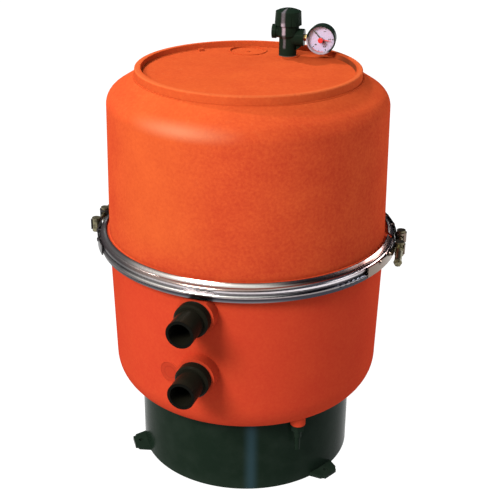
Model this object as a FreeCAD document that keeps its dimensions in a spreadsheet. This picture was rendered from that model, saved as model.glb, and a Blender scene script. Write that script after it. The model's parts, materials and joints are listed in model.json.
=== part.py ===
import FreeCAD, Part
import math
import os
import Sketcher

# Side-port sand filter tank: two moulded shells held by a two-piece band clamp,
# on a skirt base, with a bleed valve and a pressure gauge on the deck.
# The frame has its origin at the floor under the tank's axis, +Z up,
# and both pipe ports face -Y. Lengths are in millimetres, angles in degrees.

SIZES = {
    # Lower shell
    "tank_radius": 250.0,
    "wall": 6.0,
    "parting_height": 430.0,
    "parting_gap": 0.4,
    "flange_reach": 12.5,
    "lower_flange_edge": 14.0,
    "lower_flange_rise": 4.5,
    "bowl_taper": 5.0,
    "bowl_depth": 231.0,
    "knuckle_radius": 61.0,
    "dish_radius": 450.0,
    "seal_from_wall": 4.0,
    "seal_width": 6.0,
    "seal_depth": 5.0,
    # Upper shell
    "upper_flange_edge": 8.0,
    "upper_flange_rise": 6.2,
    "shoulder_taper": 4.5,
    "shoulder_height": 674.5,
    "shoulder_bend": 30.0,
    "shoulder_slope": 32.0,
    "lip_radius": 198.5,
    "lip_rise": 1.6,
    "rim_radius": 195.6,
    "rim_width": 10.6,
    "rim_rise": 9.4,
    "rim_round": 2.5,
    "deck_above_lip": 6.5,
    "recess_radius": 35.0,
    "recess_bead": 2.0,
    "recess_rise": 1.5,
    "recess_from_axis": 148.0,
    "recess_azimuth": 199.0,
    "recess_nub_radius": 4.0,
    "tab_from_axis": 172.0,
    "tab_azimuth": 228.0,
    "tab_length": 10.0,
    "tab_width": 6.0,
    "tab_rise": 4.0,
    # Base skirt
    "base_inset": 46.0,
    "base_wall": 5.0,
    "base_lip": 16.0,
    "base_lip_depth": 5.0,
    "base_turn": 4.0,
    "lug_reach": 25.0,
    "lug_root_width": 58.0,
    "lug_tip_width": 42.0,
    "lug_corner": 6.0,
    "lug_thickness": 7.5,
    "lug_hole_radius": 4.5,
    "lug_hole_from_wall": 12.0,
    "lug_count": 3,
    # Band clamp
    "ring_sheet": 1.5,
    "ring_clearance": 1.6,
    "ring_slack": 0.45,
    "ring_lip_inset": 7.0,
    "ring_flare_inset": 3.9,
    "ring_flare_top": 16.2,
    "ring_bulge": 3.4,
    "ring_bead": 4.0,
    "ring_bead_drop": 1.0,
    "ring_end_gap": 12.0,
    "clamp_turn": 8.2,
    "strap_sheet": 2.0,
    "strap_height": 18.0,
    "strap_sweep": 25.6,
    "strap_hook": 30.0,
    "strap_slot": 11.0,
    "barrel_radius": 8.0,
    "barrel_height": 26.0,
    "barrel_spread": 27.0,
    "barrel_flat": 0.6,
    "bolt_radius": 4.0,
    "bolt_reach": 97.0,
    "washer_radius": 8.0,
    "washer_thickness": 1.6,
    "sleeve_radius": 6.3,
    "sleeve_length": 48.0,
    "nut_height": 6.5,
    "nut_flats": 13.0,
    "rivet_radius": 2.5,
    "rivet_head_radius": 4.5,
    "rivet_head_height": 2.0,
    "rivet_rise": 5.2,
    "rivet_first": 9.0,
    "rivet_second": 17.6,
    # Pipe ports
    "port_drop": 46.5,
    "port_spacing": 113.5,
    "boss_radius": 34.0,
    "boss_rise": 19.0,
    "boss_thickness": 33.0,
    "gasket_radius": 29.0,
    "gasket_thickness": 2.2,
    "collar_radius": 30.0,
    "collar_length": 17.0,
    "collar_chamfer": 3.0,
    "spigot_radius": 23.9,
    "spigot_length": 45.0,
    "port_bore_radius": 19.0,
    "tail_length": 36.0,
    "locknut_flats": 56.0,
    "locknut_thickness": 12.0,
    # Inner pipework
    "pipe_wall": 3.0,
    "pipe_slack": 0.3,
    "pipe_bend": 30.0,
    "socket_depth": 20.0,
    "riser_inset": 85.0,
    "diffuser_radius": 34.0,
    "diffuser_height": 40.0,
    "diffuser_rise": 10.0,
    "diffuser_slot": 4.0,
    "lateral_drop": 27.0,
    "lateral_radius": 12.5,
    "lateral_wall": 2.0,
    "lateral_end": 195.0,
    "lateral_slot": 2.0,
    "lateral_count": 6,
    "hub_radius": 45.0,
    "hub_height": 36.0,
    "hub_wall": 6.0,
    "hub_foot_radius": 12.0,
    # Drain
    "drain_inset": 32.5,
    "drain_azimuth": 44.5,
    "drain_boss_radius": 13.5,
    "drain_boss_drop": 61.0,
    "drain_thread_radius": 6.3,
    "drain_thread_drop": 27.0,
    "drain_seal_radius": 10.5,
    "drain_seal_thickness": 1.5,
    "drain_hex_flats": 22.0,
    "drain_hex_height": 11.0,
    "drain_neck_radius": 7.0,
    "drain_neck_height": 14.0,
    "drain_bore_radius": 2.2,
    "drain_stem_radius": 3.2,
    "drain_stem_length": 19.0,
    "drain_ring_section": 1.1,
    "drain_knob_radius": 6.0,
    "drain_knob_height": 27.0,
    "strainer_radius": 9.0,
    "strainer_height": 24.0,
    "strainer_slot": 2.0,
    # Bleed valve, heights counted from the deck
    "valve_across": 31.5,
    "valve_back": 128.3,
    "head_turn": 6.9,
    "valve_collar_radius": 21.0,
    "valve_collar_rise": 1.5,
    "valve_seal_thickness": 1.5,
    "valve_tail_radius": 10.0,
    "valve_tail_drop": 27.0,
    "valve_nut_flats": 30.0,
    "valve_nut_thickness": 11.0,
    "column_radius": 16.0,
    "column_top": 33.0,
    "valve_barrel_radius": 20.0,
    "barrel_top": 61.0,
    "neck_radius": 12.0,
    "neck_top": 74.0,
    "inlet_bore_radius": 5.0,
    "valve_seat_height": 42.0,
    "chamber_radius": 9.0,
    "spindle_slack": 0.3,
    "spindle_disc": 3.0,
    "spindle_stem_radius": 5.0,
    "piston_height": 11.0,
    "bleed_ring_section": 2.4,
    "vent_neck_radius": 11.0,
    "vent_radius": 12.7,
    "vent_height": 44.0,
    "vent_shoulder": 21.0,
    "vent_reach": 28.5,
    "vent_bore_radius": 6.0,
    "branch_radius": 15.5,
    "branch_height": 35.0,
    "branch_reach": 30.0,
    "cap_bottom_radius": 24.5,
    "cap_top_radius": 23.0,
    "cap_bottom": 57.0,
    "cap_shoulder": 81.0,
    "cap_top": 86.6,
    "flute_radius": 2.6,
    "flute_count": 14,
    "bleed_travel": 4.0,
    # Pressure gauge
    "gauge_from_valve": 61.5,
    "gauge_radius": 26.4,
    "gauge_back": 14.0,
    "gauge_front": 14.0,
    "gauge_skin": 1.5,
    "bezel_width": 2.6,
    "bezel_depth": 7.0,
    "lens_thickness": 1.6,
    "dial_height": 4.0,
    "dial_thickness": 0.8,
    "needle_length": 19.0,
    "needle_tail": 8.0,
    "needle_width": 3.2,
    "needle_thickness": 0.8,
    "needle_height": 6.6,
    "needle_rest": 133.0,
    "arbor_radius": 1.0,
    "set_arm_length": 17.0,
    "set_arm_height": 9.2,
    "set_pointer_rest": -7.0,
    "set_shaft_radius": 1.6,
    "set_knob_radius": 4.6,
    "set_knob_height": 6.0,
    "gauge_stem_radius": 3.6,
    "gauge_stem_flats": 11.0,
    "coil_radius": 16.0,
    "coil_width": 3.0,
    "coil_depth": 8.0,
    "coil_sweep": 250.0,
    # Fits
    "seat": 0.3,
    "running": 0.05,
}


class Size:
    """A length or angle that carries its number and the sheet formula behind it."""

    def __init__(self, number, formula):
        self.number = float(number)
        self.formula = formula

    def __add__(self, other):
        other = as_size(other)
        return Size(self.number + other.number, f"({self.formula} + {other.formula})")

    def __sub__(self, other):
        other = as_size(other)
        return Size(self.number - other.number, f"({self.formula} - {other.formula})")

    def __mul__(self, other):
        other = as_size(other)
        return Size(self.number * other.number, f"({self.formula} * {other.formula})")

    def __truediv__(self, other):
        other = as_size(other)
        return Size(self.number / other.number, f"({self.formula} / {other.formula})")

    def __radd__(self, other):
        return as_size(other) + self

    def __rsub__(self, other):
        return as_size(other) - self

    def __rmul__(self, other):
        return as_size(other) * self

    def __neg__(self):
        return Size(-self.number, f"(0 - {self.formula})")


def as_size(value):
    """Turn a plain number into a Size; leave a Size alone."""
    return value if isinstance(value, Size) else Size(value, repr(float(value)))


def root(value):
    return Size(math.sqrt(value.number), f"sqrt({value.formula})")


def sine(angle):
    return Size(math.sin(math.radians(angle.number)), f"sin({angle.formula})")


def cosine(angle):
    return Size(math.cos(math.radians(angle.number)), f"cos({angle.formula})")


def tangent(angle):
    return Size(math.tan(math.radians(angle.number)), f"tan({angle.formula})")


class Sheet:
    """Gives every cell of the document's size sheet as a Size by its alias."""

    def __init__(self, document):
        self.cells = document.addObject("Spreadsheet::Sheet", "Sizes")
        for row, (alias, value) in enumerate(SIZES.items(), start=1):
            self.cells.set(f"A{row}", alias)
            self.cells.set(f"B{row}", str(value))
            self.cells.setAlias(f"B{row}", alias)
        document.recompute()

    def __getattr__(self, alias):
        return Size(self.cells.get(alias), f"Sizes.{alias}")


doc = FreeCAD.newDocument("FilterTank")
size = Sheet(doc)
ZERO = as_size(0)
HALF_TURN = as_size(180)
parts = []

# Turns that lay a piece's own +Z along another direction of the tank
UP = FreeCAD.Rotation()
TO_FRONT = FreeCAD.Rotation(FreeCAD.Vector(1, 0, 0), 90)
TO_RIGHT = FreeCAD.Rotation(FreeCAD.Vector(0, 1, 0), 90)
TO_LEFT = FreeCAD.Rotation(FreeCAD.Vector(0, 1, 0), -90)
UPSIDE_DOWN = FreeCAD.Rotation(FreeCAD.Vector(0, 1, 0), 180)


def about_z(angle):
    """A turn about the tank's axis by a Size or a number of degrees."""
    return FreeCAD.Rotation(FreeCAD.Vector(0, 0, 1), as_size(angle).number)


def bind(thing, prop, value):
    """Tie one property of an object to its sheet formula."""
    thing.setExpression(prop, as_size(value).formula)


def put(thing, place=(0, 0, 0), turn=UP):
    """Set an object's turn, and tie its position to the sheet."""
    numbers = [as_size(value).number for value in place]
    thing.Placement = FreeCAD.Placement(FreeCAD.Vector(*numbers), turn)
    for axis, value in zip("xyz", place):
        bind(thing, f"Placement.Base.{axis}", value)
    return thing


def finish(thing, label):
    """Give a finished sub-part its own label and list it for writing."""
    thing.Label = label
    parts.append(thing)
    return thing


# Sketches and turned bodies

def pin_point(sketch, shape, end, x, y, tag):
    """Hold one end of a sketched edge at a named distance from both axes."""
    for kind, axis, value in (("DistanceX", -2, x), ("DistanceY", -1, y)):
        if abs(value.number) < 1e-9:
            sketch.addConstraint(Sketcher.Constraint("PointOnObject", shape, end, axis))
            continue
        if value.number > 0:
            rule = Sketcher.Constraint(kind, -1, 1, shape, end, value.number)
        else:
            rule = Sketcher.Constraint(kind, shape, end, -1, 1, -value.number)
            value = -value
        index = sketch.addConstraint(rule)
        sketch.renameConstraint(index, f"{tag}_{kind[-1]}")
        bind(sketch, f"Constraints.{tag}_{kind[-1]}", value)


def arc_middle(start, end, radius, side):
    """A point halfway along the arc from start to end that bulges to one side."""
    chord = end - start
    half = chord.Length / 2
    rise = radius - math.sqrt(max(radius * radius - half * half, 0.0))
    across = FreeCAD.Vector(chord.y, -chord.x, 0).normalize()
    return (start + end) * 0.5 + across * rise * side


def origin_plane(body, role):
    for feature in body.Origin.OriginFeatures:
        if feature.Role == role:
            return feature
    raise ValueError(role)


def new_sketch(body, name, role, lift=None, rise=None):
    """An empty sketch on one of the body's own origin planes."""
    sketch = body.newObject("Sketcher::SketchObject", name)
    sketch.AttachmentSupport = [(origin_plane(body, role), "")]
    sketch.MapMode = "FlatFace"
    if lift is not None:
        bind(sketch, "AttachmentOffset.Base.z", lift)
    if rise is not None:
        bind(sketch, "AttachmentOffset.Base.y", rise)
    return sketch


def draw_outline(sketch, corners, bends=None, tag="corner"):
    """A closed outline. bends gives, for the edge that leaves a corner,
    its radius and the side it bulges to: 1 right of the way it runs, -1 left."""
    bends = bends or {}
    corners = [(as_size(x), as_size(y)) for x, y in corners]
    points = [FreeCAD.Vector(x.number, y.number, 0) for x, y in corners]
    shapes = []
    ends = []
    for index, start in enumerate(points):
        end = points[(index + 1) % len(points)]
        if index in bends:
            radius, side = bends[index]
            middle = arc_middle(start, end, radius.number, side)
            shape = sketch.addGeometry(Part.Arc(start, middle, end), False)
            forward = (sketch.getPoint(shape, 1) - start).Length < 1e-6
            ends.append((1, 2) if forward else (2, 1))
        else:
            shape = sketch.addGeometry(Part.LineSegment(start, end), False)
            ends.append((1, 2))
        shapes.append(shape)
    count = len(corners)
    for index, shape in enumerate(shapes):
        following = (index + 1) % count
        sketch.addConstraint(Sketcher.Constraint(
            "Coincident", shape, ends[index][1], shapes[following], ends[following][0]))
    for index, (x, y) in enumerate(corners):
        pin_point(sketch, shapes[index], ends[index][0], x, y, f"{tag}{index}")
    for index, (radius, side) in bends.items():
        rule = sketch.addConstraint(
            Sketcher.Constraint("Radius", shapes[index], radius.number))
        sketch.renameConstraint(rule, f"{tag}{index}_bend")
        bind(sketch, f"Constraints.{tag}{index}_bend", radius)


def draw_circle(sketch, x, y, radius, tag="circle"):
    middle = FreeCAD.Vector(x.number, y.number, 0)
    shape = sketch.addGeometry(
        Part.Circle(middle, FreeCAD.Vector(0, 0, 1), radius.number), False)
    pin_point(sketch, shape, 3, x, y, tag)
    rule = sketch.addConstraint(Sketcher.Constraint("Radius", shape, radius.number))
    sketch.renameConstraint(rule, f"{tag}_radius")
    bind(sketch, f"Constraints.{tag}_radius", radius)


def new_body(name):
    return doc.addObject("PartDesign::Body", name)


def revolve(body, name, corners, bends=None, angle=360, cut=False):
    """Turn an outline of radii and heights about the body's own Z."""
    sketch = new_sketch(body, f"{name}Outline", "XZ_Plane")
    draw_outline(sketch, corners, bends)
    kind = "Groove" if cut else "Revolution"
    feature = body.newObject(f"PartDesign::{kind}", name)
    feature.Profile = sketch
    feature.ReferenceAxis = (sketch, ["V_Axis"])
    bind(feature, "Angle", angle)
    return feature


def turned(name, corners, bends=None):
    """A body made by one full revolution."""
    body = new_body(name)
    revolve(body, f"{name}Turn", corners, bends)
    return body


def tube(name, inner, outer, bottom, top):
    """A plain ring or pipe along the body's own Z."""
    return turned(name, [(inner, bottom), (outer, bottom), (outer, top), (inner, top)])


def pad(body, name, sketch, length, cut=False, reverse=False, both=False):
    """Push a sketch out by a length, or cut with it."""
    feature = body.newObject("PartDesign::Pocket" if cut else "PartDesign::Pad", name)
    feature.Profile = sketch
    feature.Reversed = reverse
    feature.Midplane = both
    bind(feature, "Length", length)
    return feature


def repeat_around(body, name, original, count):
    """Repeat a feature in a full circle about the body's own Z."""
    pattern = body.newObject("PartDesign::PolarPattern", name)
    pattern.Originals = [original]
    pattern.Axis = (origin_plane(body, "Z_Axis"), [""])
    pattern.Angle = 360
    bind(pattern, "Occurrences", count)
    body.Tip = pattern
    return pattern


# Plain solids and their sums and differences

def cylinder(name, radius, height, place=(0, 0, 0), turn=UP):
    shape = doc.addObject("Part::Cylinder", name)
    bind(shape, "Radius", radius)
    bind(shape, "Height", height)
    return put(shape, place, turn)


def box(name, length, width, height, place=(0, 0, 0), turn=UP):
    shape = doc.addObject("Part::Box", name)
    bind(shape, "Length", length)
    bind(shape, "Width", width)
    bind(shape, "Height", height)
    return put(shape, place, turn)


def hexagon(name, flats, height, place=(0, 0, 0), turn=UP):
    shape = doc.addObject("Part::Prism", name)
    shape.Polygon = 6
    bind(shape, "Circumradius", flats / root(as_size(3)))
    bind(shape, "Height", height)
    return put(shape, place, turn)


def joined(name, things):
    fusion = doc.addObject("Part::MultiFuse", name)
    fusion.Shapes = things
    return fusion


def without(name, base, tools):
    result = doc.addObject("Part::Cut", name)
    result.Base = base
    result.Tool = tools[0] if len(tools) == 1 else joined(f"{name}Tools", tools)
    return result


def grouped(name, things):
    """Separate solids kept in one sub-part, such as like fasteners."""
    group = doc.addObject("Part::Compound", name)
    group.Links = things
    return group


def spoke(thing, angle, radius, height):
    """Lay a piece's own Z outwards along a spoke, at an angle counted from +X."""
    place = (radius * cosine(angle), radius * sine(angle), height)
    return put(thing, place, about_z(angle) * TO_RIGHT)


def around(radius, azimuth):
    """Plan position at a radius and an azimuth counted from -Y towards +X."""
    return radius * sine(azimuth), -radius * cosine(azimuth)


# Heights and radii that several pieces share

flange_radius = size.tank_radius + size.flange_reach
bowl_radius = size.tank_radius - size.bowl_taper
shoulder_radius = size.tank_radius - size.shoulder_taper
seal_radius = size.tank_radius + size.seal_from_wall
boss_face = size.tank_radius + size.boss_rise
base_radius = bowl_radius - size.base_inset
drain_from_axis = bowl_radius - size.drain_inset
ring_lip_radius = flange_radius - size.ring_lip_inset
ring_flare_radius = flange_radius - size.ring_flare_inset
upper_port_height = size.parting_height - size.port_drop
lower_port_height = upper_port_height - size.port_spacing
half_gap = size.parting_gap / 2
lower_face = size.parting_height - half_gap
upper_face = size.parting_height + half_gap
knuckle_height = size.parting_height - size.bowl_depth
lateral_height = knuckle_height - size.lateral_drop
drain_boss_bottom = knuckle_height - size.drain_boss_drop
drain_thread_top = knuckle_height - size.drain_thread_drop
knuckle_from_axis = bowl_radius - size.knuckle_radius
bend_span = size.dish_radius - size.knuckle_radius
dish_rise = root(bend_span * bend_span - knuckle_from_axis * knuckle_from_axis)
dish_centre = knuckle_height + dish_rise
dish_bottom = dish_centre - size.dish_radius


def bowl_height(radius):
    """Height of the bowl's outside at a radius inside the dish."""
    return dish_centre - root(size.dish_radius * size.dish_radius - radius * radius)


def dish_end(inset):
    """Where the dish runs into the knuckle, on a surface that lies inset in the wall."""
    share = (size.dish_radius - inset) / bend_span
    return knuckle_from_axis * share, dish_centre - dish_rise * share


def shoulder_end(inset):
    """Where the shoulder's bend runs into its slope, inset in the wall."""
    bend = size.shoulder_bend - inset
    middle = shoulder_radius - size.shoulder_bend
    radius = middle + bend * sine(size.shoulder_slope)
    height = size.shoulder_height + bend * cosine(size.shoulder_slope)
    return radius, height


slope_radius, slope_height = shoulder_end(ZERO)
slope_fall = tangent(size.shoulder_slope)
lip_height = slope_height + (slope_radius - size.lip_radius) * slope_fall
deck_height = lip_height + size.deck_above_lip
rim_top = deck_height + size.rim_rise
boss_inside = boss_face - size.boss_thickness
drain_x, drain_y = around(drain_from_axis, size.drain_azimuth)
port_heights = {"Inlet": upper_port_height, "Outlet": lower_port_height}


# Lower shell: wall, knuckle and dish, with two port bosses and a drain boss

def make_lower_shell():
    body = new_body("LowerShell")
    flange_under = lower_face - size.lower_flange_edge
    end_radius, end_height = dish_end(ZERO)
    revolve(body, "LowerOutside", [
        (ZERO, dish_bottom),
        (end_radius, end_height),
        (bowl_radius, knuckle_height),
        (size.tank_radius, flange_under - size.lower_flange_rise),
        (flange_radius, flange_under),
        (flange_radius, lower_face),
        (ZERO, lower_face),
    ], {0: (size.dish_radius, 1), 1: (size.knuckle_radius, 1)})
    drain = new_sketch(body, "DrainBossCircle", "XY_Plane", drain_boss_bottom)
    draw_circle(drain, drain_x, drain_y, size.drain_boss_radius)
    pad(body, "DrainBoss", drain, size.knuckle_radius / 2)
    end_radius, end_height = dish_end(size.wall)
    revolve(body, "LowerInside", [
        (ZERO, dish_bottom + size.wall),
        (end_radius, end_height),
        (bowl_radius - size.wall, knuckle_height),
        (size.tank_radius - size.wall, lower_face),
        (ZERO, lower_face),
    ], {0: (size.dish_radius - size.wall, 1), 1: (size.knuckle_radius - size.wall, 1)},
        cut=True)
    ports = new_sketch(body, "PortBossCircles", "XZ_Plane", boss_inside)
    for tag, height in port_heights.items():
        draw_circle(ports, ZERO, height, size.boss_radius, tag)
    pad(body, "PortBosses", ports, size.boss_thickness)
    slope = size.lower_flange_rise / (flange_radius - size.tank_radius)
    relief = ring_lip_radius - 3 * size.seat
    clear_of_ring = flange_under - size.lower_flange_rise - 2 * size.seat
    revolve(body, "ClampRelief", [
        (relief, clear_of_ring),
        (boss_face + size.boss_radius, clear_of_ring),
        (boss_face + size.boss_radius, lower_face),
        (flange_radius, lower_face),
        (flange_radius, flange_under),
        (relief, flange_under - (flange_radius - relief) * slope),
    ], cut=True)
    holes = new_sketch(body, "PortHoleCircles", "XZ_Plane", boss_face + size.wall)
    for tag, height in port_heights.items():
        draw_circle(holes, ZERO, height, size.spigot_radius + size.seat, tag)
    pad(body, "PortHoles", holes, size.boss_thickness + 2 * size.wall, cut=True)
    bore = new_sketch(body, "DrainHoleCircle", "XY_Plane",
                      drain_boss_bottom - size.wall)
    draw_circle(bore, drain_x, drain_y, size.drain_thread_radius + size.seat)
    pad(body, "DrainHole", bore, size.knuckle_radius, cut=True, reverse=True)
    seal_inner = seal_radius - size.seal_width / 2
    seal_outer = seal_radius + size.seal_width / 2
    revolve(body, "SealGroove", [
        (seal_inner, lower_face - size.seal_depth),
        (seal_outer, lower_face - size.seal_depth),
        (seal_outer, lower_face),
        (seal_inner, lower_face),
    ], cut=True)
    finish(body, "lower_shell")


# Upper shell: wall, shoulder, standing rim and sunken deck with the valve's collar

def make_upper_shell():
    body = new_body("UpperShell")
    rim_inner = size.rim_radius - size.rim_width
    flange_over = upper_face + size.upper_flange_edge
    revolve(body, "UpperOutside", [
        (ZERO, upper_face),
        (flange_radius, upper_face),
        (flange_radius, flange_over),
        (size.tank_radius, flange_over + size.upper_flange_rise),
        (shoulder_radius, size.shoulder_height),
        (slope_radius, slope_height),
        (size.lip_radius, lip_height),
        (size.lip_radius, lip_height + size.lip_rise),
        (size.rim_radius, lip_height + size.lip_rise),
        (size.rim_radius, rim_top - size.rim_round),
        (size.rim_radius - size.rim_round, rim_top),
        (rim_inner, rim_top),
        (rim_inner, deck_height),
        (ZERO, deck_height),
    ], {4: (size.shoulder_bend, 1), 9: (size.rim_round, 1)})
    collar = new_sketch(body, "ValveCollarCircle", "XY_Plane", deck_height)
    draw_circle(collar, size.valve_across, size.valve_back, size.valve_collar_radius)
    pad(body, "ValveCollar", collar, size.valve_collar_rise)
    inner_radius, inner_height = shoulder_end(size.wall)
    deck_under = deck_height - size.wall
    inner_deck_radius = inner_radius - (deck_under - inner_height) / slope_fall
    revolve(body, "UpperInside", [
        (ZERO, upper_face),
        (size.tank_radius - size.wall, upper_face),
        (shoulder_radius - size.wall, size.shoulder_height),
        (inner_radius, inner_height),
        (inner_deck_radius, deck_under),
        (ZERO, deck_under),
    ], {2: (size.shoulder_bend - size.wall, 1)}, cut=True)
    hole = new_sketch(body, "ValveHoleCircle", "XY_Plane", deck_height + 2 * size.wall)
    draw_circle(hole, size.valve_across, size.valve_back,
                size.valve_tail_radius + size.seat)
    pad(body, "ValveHole", hole, 4 * size.wall, cut=True)
    recess_x, recess_y = around(size.recess_from_axis, size.recess_azimuth)
    inside = size.recess_radius - size.recess_bead
    bead = new_sketch(body, "RecessBeadCircles", "XY_Plane", deck_height)
    draw_circle(bead, recess_x, recess_y, size.recess_radius, "outer")
    draw_circle(bead, recess_x, recess_y, inside, "inner")
    pad(body, "RecessBead", bead, size.recess_rise)
    floor = new_sketch(body, "RecessFloorCircles", "XY_Plane", deck_height)
    draw_circle(floor, recess_x, recess_y, inside, "outer")
    draw_circle(floor, recess_x, recess_y, size.recess_nub_radius, "nub")
    pad(body, "RecessFloor", floor, size.recess_rise, cut=True)
    tab = box("RimTab", size.tab_length, size.tab_width, size.tab_rise + size.wall / 2)
    tab_x, tab_y = around(size.tab_from_axis, size.tab_azimuth)
    put(tab, (tab_x, tab_y, deck_height - size.wall / 2), about_z(size.tab_azimuth))
    finish(joined("UpperShellWithTab", [body, tab]), "upper_shell")


def make_flange_seal():
    """Square-section seal that fills the lower flange's groove up to the upper flange."""
    inner = seal_radius - size.seal_width / 2 + size.seat
    outer = seal_radius + size.seal_width / 2 - size.seat
    finish(tube("FlangeSeal", inner, outer, lower_face - size.seal_depth, upper_face),
           "flange_seal")


# Base skirt: a ring whose bevelled lip carries the bowl, with three floor lugs

def make_base_ring():
    body = new_body("BaseRing")
    outer = base_radius
    inner = outer - size.base_wall
    lip = outer - size.base_lip
    lip_top = bowl_height(lip) - size.seat
    lip_under = lip_top - size.base_lip_depth
    revolve(body, "Skirt", [
        (inner, ZERO),
        (outer, ZERO),
        (outer, bowl_height(outer) - 2 * size.seat),
        (lip, lip_top),
        (lip, lip_under),
        (inner, lip_under - size.base_wall),
    ])
    root_y = inner + size.base_wall / 2
    tip_y = outer + size.lug_reach
    half_tip = size.lug_tip_width / 2
    lug = new_sketch(body, "LugOutline", "XY_Plane")
    draw_outline(lug, [
        (-size.lug_root_width / 2, root_y),
        (size.lug_root_width / 2, root_y),
        (half_tip, tip_y - size.lug_corner),
        (half_tip - size.lug_corner, tip_y),
        (size.lug_corner - half_tip, tip_y),
        (-half_tip, tip_y - size.lug_corner),
    ], {2: (size.lug_corner, -1), 4: (size.lug_corner, -1)})
    draw_circle(lug, ZERO, outer + size.lug_hole_from_wall, size.lug_hole_radius, "hole")
    flat = pad(body, "Lug", lug, size.lug_thickness)
    repeat_around(body, "Lugs", flat, size.lug_count)
    put(body, (0, 0, 0), about_z(size.base_turn))
    finish(body, "base_ring")


# Band clamp: two rolled half rings drawn together by a long bolt at each side

ring_inside = flange_radius + size.ring_clearance
ring_outside = ring_inside + size.ring_sheet
strap_inside = ring_outside + size.ring_bead + size.seat
strap_outside = strap_inside + size.strap_sheet
loop_inside = size.barrel_radius + size.seat
loop_outside = loop_inside + size.strap_sheet
barrel_from_axis = strap_outside + loop_inside
barrel_x = root(barrel_from_axis * barrel_from_axis
                - size.barrel_spread * size.barrel_spread)
barrel_angle = as_size(math.degrees(
    math.asin(size.barrel_spread.number / barrel_from_axis.number)))
rivet_height = size.parting_height + size.rivet_rise
closures = {"Right": ZERO, "Left": HALF_TURN}
flat_y = -(size.barrel_spread + size.barrel_radius - size.barrel_flat)
washer_y = flat_y - size.washer_thickness
sleeve_y = washer_y - size.sleeve_length


def upper_ring_face(radius):
    """Height over the parting line of the clamp's upper inner face."""
    slope = size.upper_flange_rise / (flange_radius - size.tank_radius)
    edge = half_gap + size.upper_flange_edge + size.ring_slack
    return edge + (flange_radius - radius) * slope


def lower_ring_face(radius):
    """Depth under the parting line of the clamp's lower inner face."""
    slope = size.lower_flange_rise / (flange_radius - size.tank_radius)
    edge = half_gap + size.lower_flange_edge + size.ring_slack
    return edge + (flange_radius - radius) * slope


def bow_radius(start, end, rise):
    """Radius of the arc that stands a given rise over the chord from start to end."""
    across = end[0] - start[0]
    along = end[1] - start[1]
    quarter = (across * across + along * along) / 4
    return (quarter + rise * rise) / (2 * rise)


def make_clamp_half(name, label, turn):
    """One half ring, a little short of half a turn, with four rivet holes."""
    body = new_body(name)
    sheet = size.ring_sheet
    middle = size.parting_height
    bead_top = middle - size.ring_bead_drop
    bulge_start = (flange_radius,
                   middle + upper_ring_face(flange_radius) + sheet)
    bulge_end = (ring_outside, middle)
    outline = [
        (ring_lip_radius, middle + size.ring_flare_top),
        (ring_flare_radius, middle + upper_ring_face(ring_flare_radius)),
        (ring_inside, middle + upper_ring_face(ring_inside)),
        (ring_inside, middle - lower_ring_face(ring_inside)),
        (ring_lip_radius, middle - lower_ring_face(ring_lip_radius)),
        (ring_lip_radius, middle - lower_ring_face(ring_lip_radius) - sheet),
        (ring_outside, middle - lower_ring_face(ring_outside) - sheet),
        (ring_outside, bead_top - 2 * size.ring_bead),
        (ring_outside + size.ring_bead, bead_top - size.ring_bead),
        (ring_outside, bead_top),
        bulge_end,
        bulge_start,
        (ring_flare_radius + sheet,
         middle + upper_ring_face(ring_flare_radius) + sheet),
        (ring_lip_radius + sheet, middle + size.ring_flare_top),
    ]
    bends = {
        7: (size.ring_bead, 1),
        8: (size.ring_bead, 1),
        10: (bow_radius(bulge_start, bulge_end, size.ring_bulge), 1),
    }
    trim = as_size(math.degrees(size.ring_end_gap.number / 2 / ring_inside.number))
    revolve(body, f"{name}Turn", outline, bends, HALF_TURN - 2 * trim)
    put(body, (0, 0, 0), about_z(trim))
    holes = []
    for place in (size.rivet_first, size.rivet_second):
        for angle in (barrel_angle + place, HALF_TURN - barrel_angle - place):
            hole = cylinder(f"{name}RivetHole{len(holes)}",
                            size.rivet_radius + size.running, 4 * size.strap_sheet)
            holes.append(spoke(hole, angle, ring_inside - sheet, rivet_height))
    half = without(f"{name}Drilled", body, holes)
    put(half, (0, 0, 0), about_z(size.clamp_turn + turn))
    finish(half, label)


def make_strap(name, label, side, turn):
    """A strap along the ring with its end hooked round a barrel.
    side is 1 where the strap comes from the front of its closure, -1 from the back."""
    body = new_body(name)
    sweep = size.strap_sweep
    hook = size.strap_hook
    centre = barrel_from_axis
    half_path = [
        (strap_inside * cosine(sweep), -strap_inside * sine(sweep)),
        (strap_inside, ZERO),
        (centre, loop_outside),
        (centre + loop_outside, ZERO),
        (centre + loop_outside * cosine(hook), -loop_outside * sine(hook)),
        (centre + loop_inside * cosine(hook), -loop_inside * sine(hook)),
        (centre + loop_inside, ZERO),
        (centre, loop_inside),
        (strap_outside, ZERO),
        (strap_outside * cosine(sweep), -strap_outside * sine(sweep)),
    ]
    bends = {0: (strap_inside, side), 8: (strap_outside, -side)}
    bends.update({edge: (loop_outside, -side) for edge in (1, 2, 3)})
    bends.update({edge: (loop_inside, side) for edge in (5, 6, 7)})
    plan = new_sketch(body, f"{name}Plan", "XY_Plane", size.parting_height)
    draw_outline(plan, [(x, y * side) for x, y in half_path], bends)
    pad(body, f"{name}Band", plan, size.strap_height, both=True)
    put(body, (0, 0, 0), about_z(-barrel_angle * side))
    slot = size.strap_slot
    reach = 2 * loop_outside
    start_y = -size.barrel_spread if side > 0 else size.barrel_spread - reach
    tools = [box(f"{name}BoltSlot", slot, reach, slot,
                 (barrel_x - slot / 2, start_y, size.parting_height - slot / 2))]
    for place in (size.rivet_first, size.rivet_second):
        hole = cylinder(f"{name}RivetHole{len(tools)}",
                        size.rivet_radius + size.running, 4 * size.strap_sheet)
        tools.append(spoke(hole, -(barrel_angle + place) * side,
                           strap_inside - size.strap_sheet, rivet_height))
    strap = without(f"{name}Cut", body, tools)
    put(strap, (0, 0, 0), about_z(size.clamp_turn + turn))
    finish(strap, label)


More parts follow.
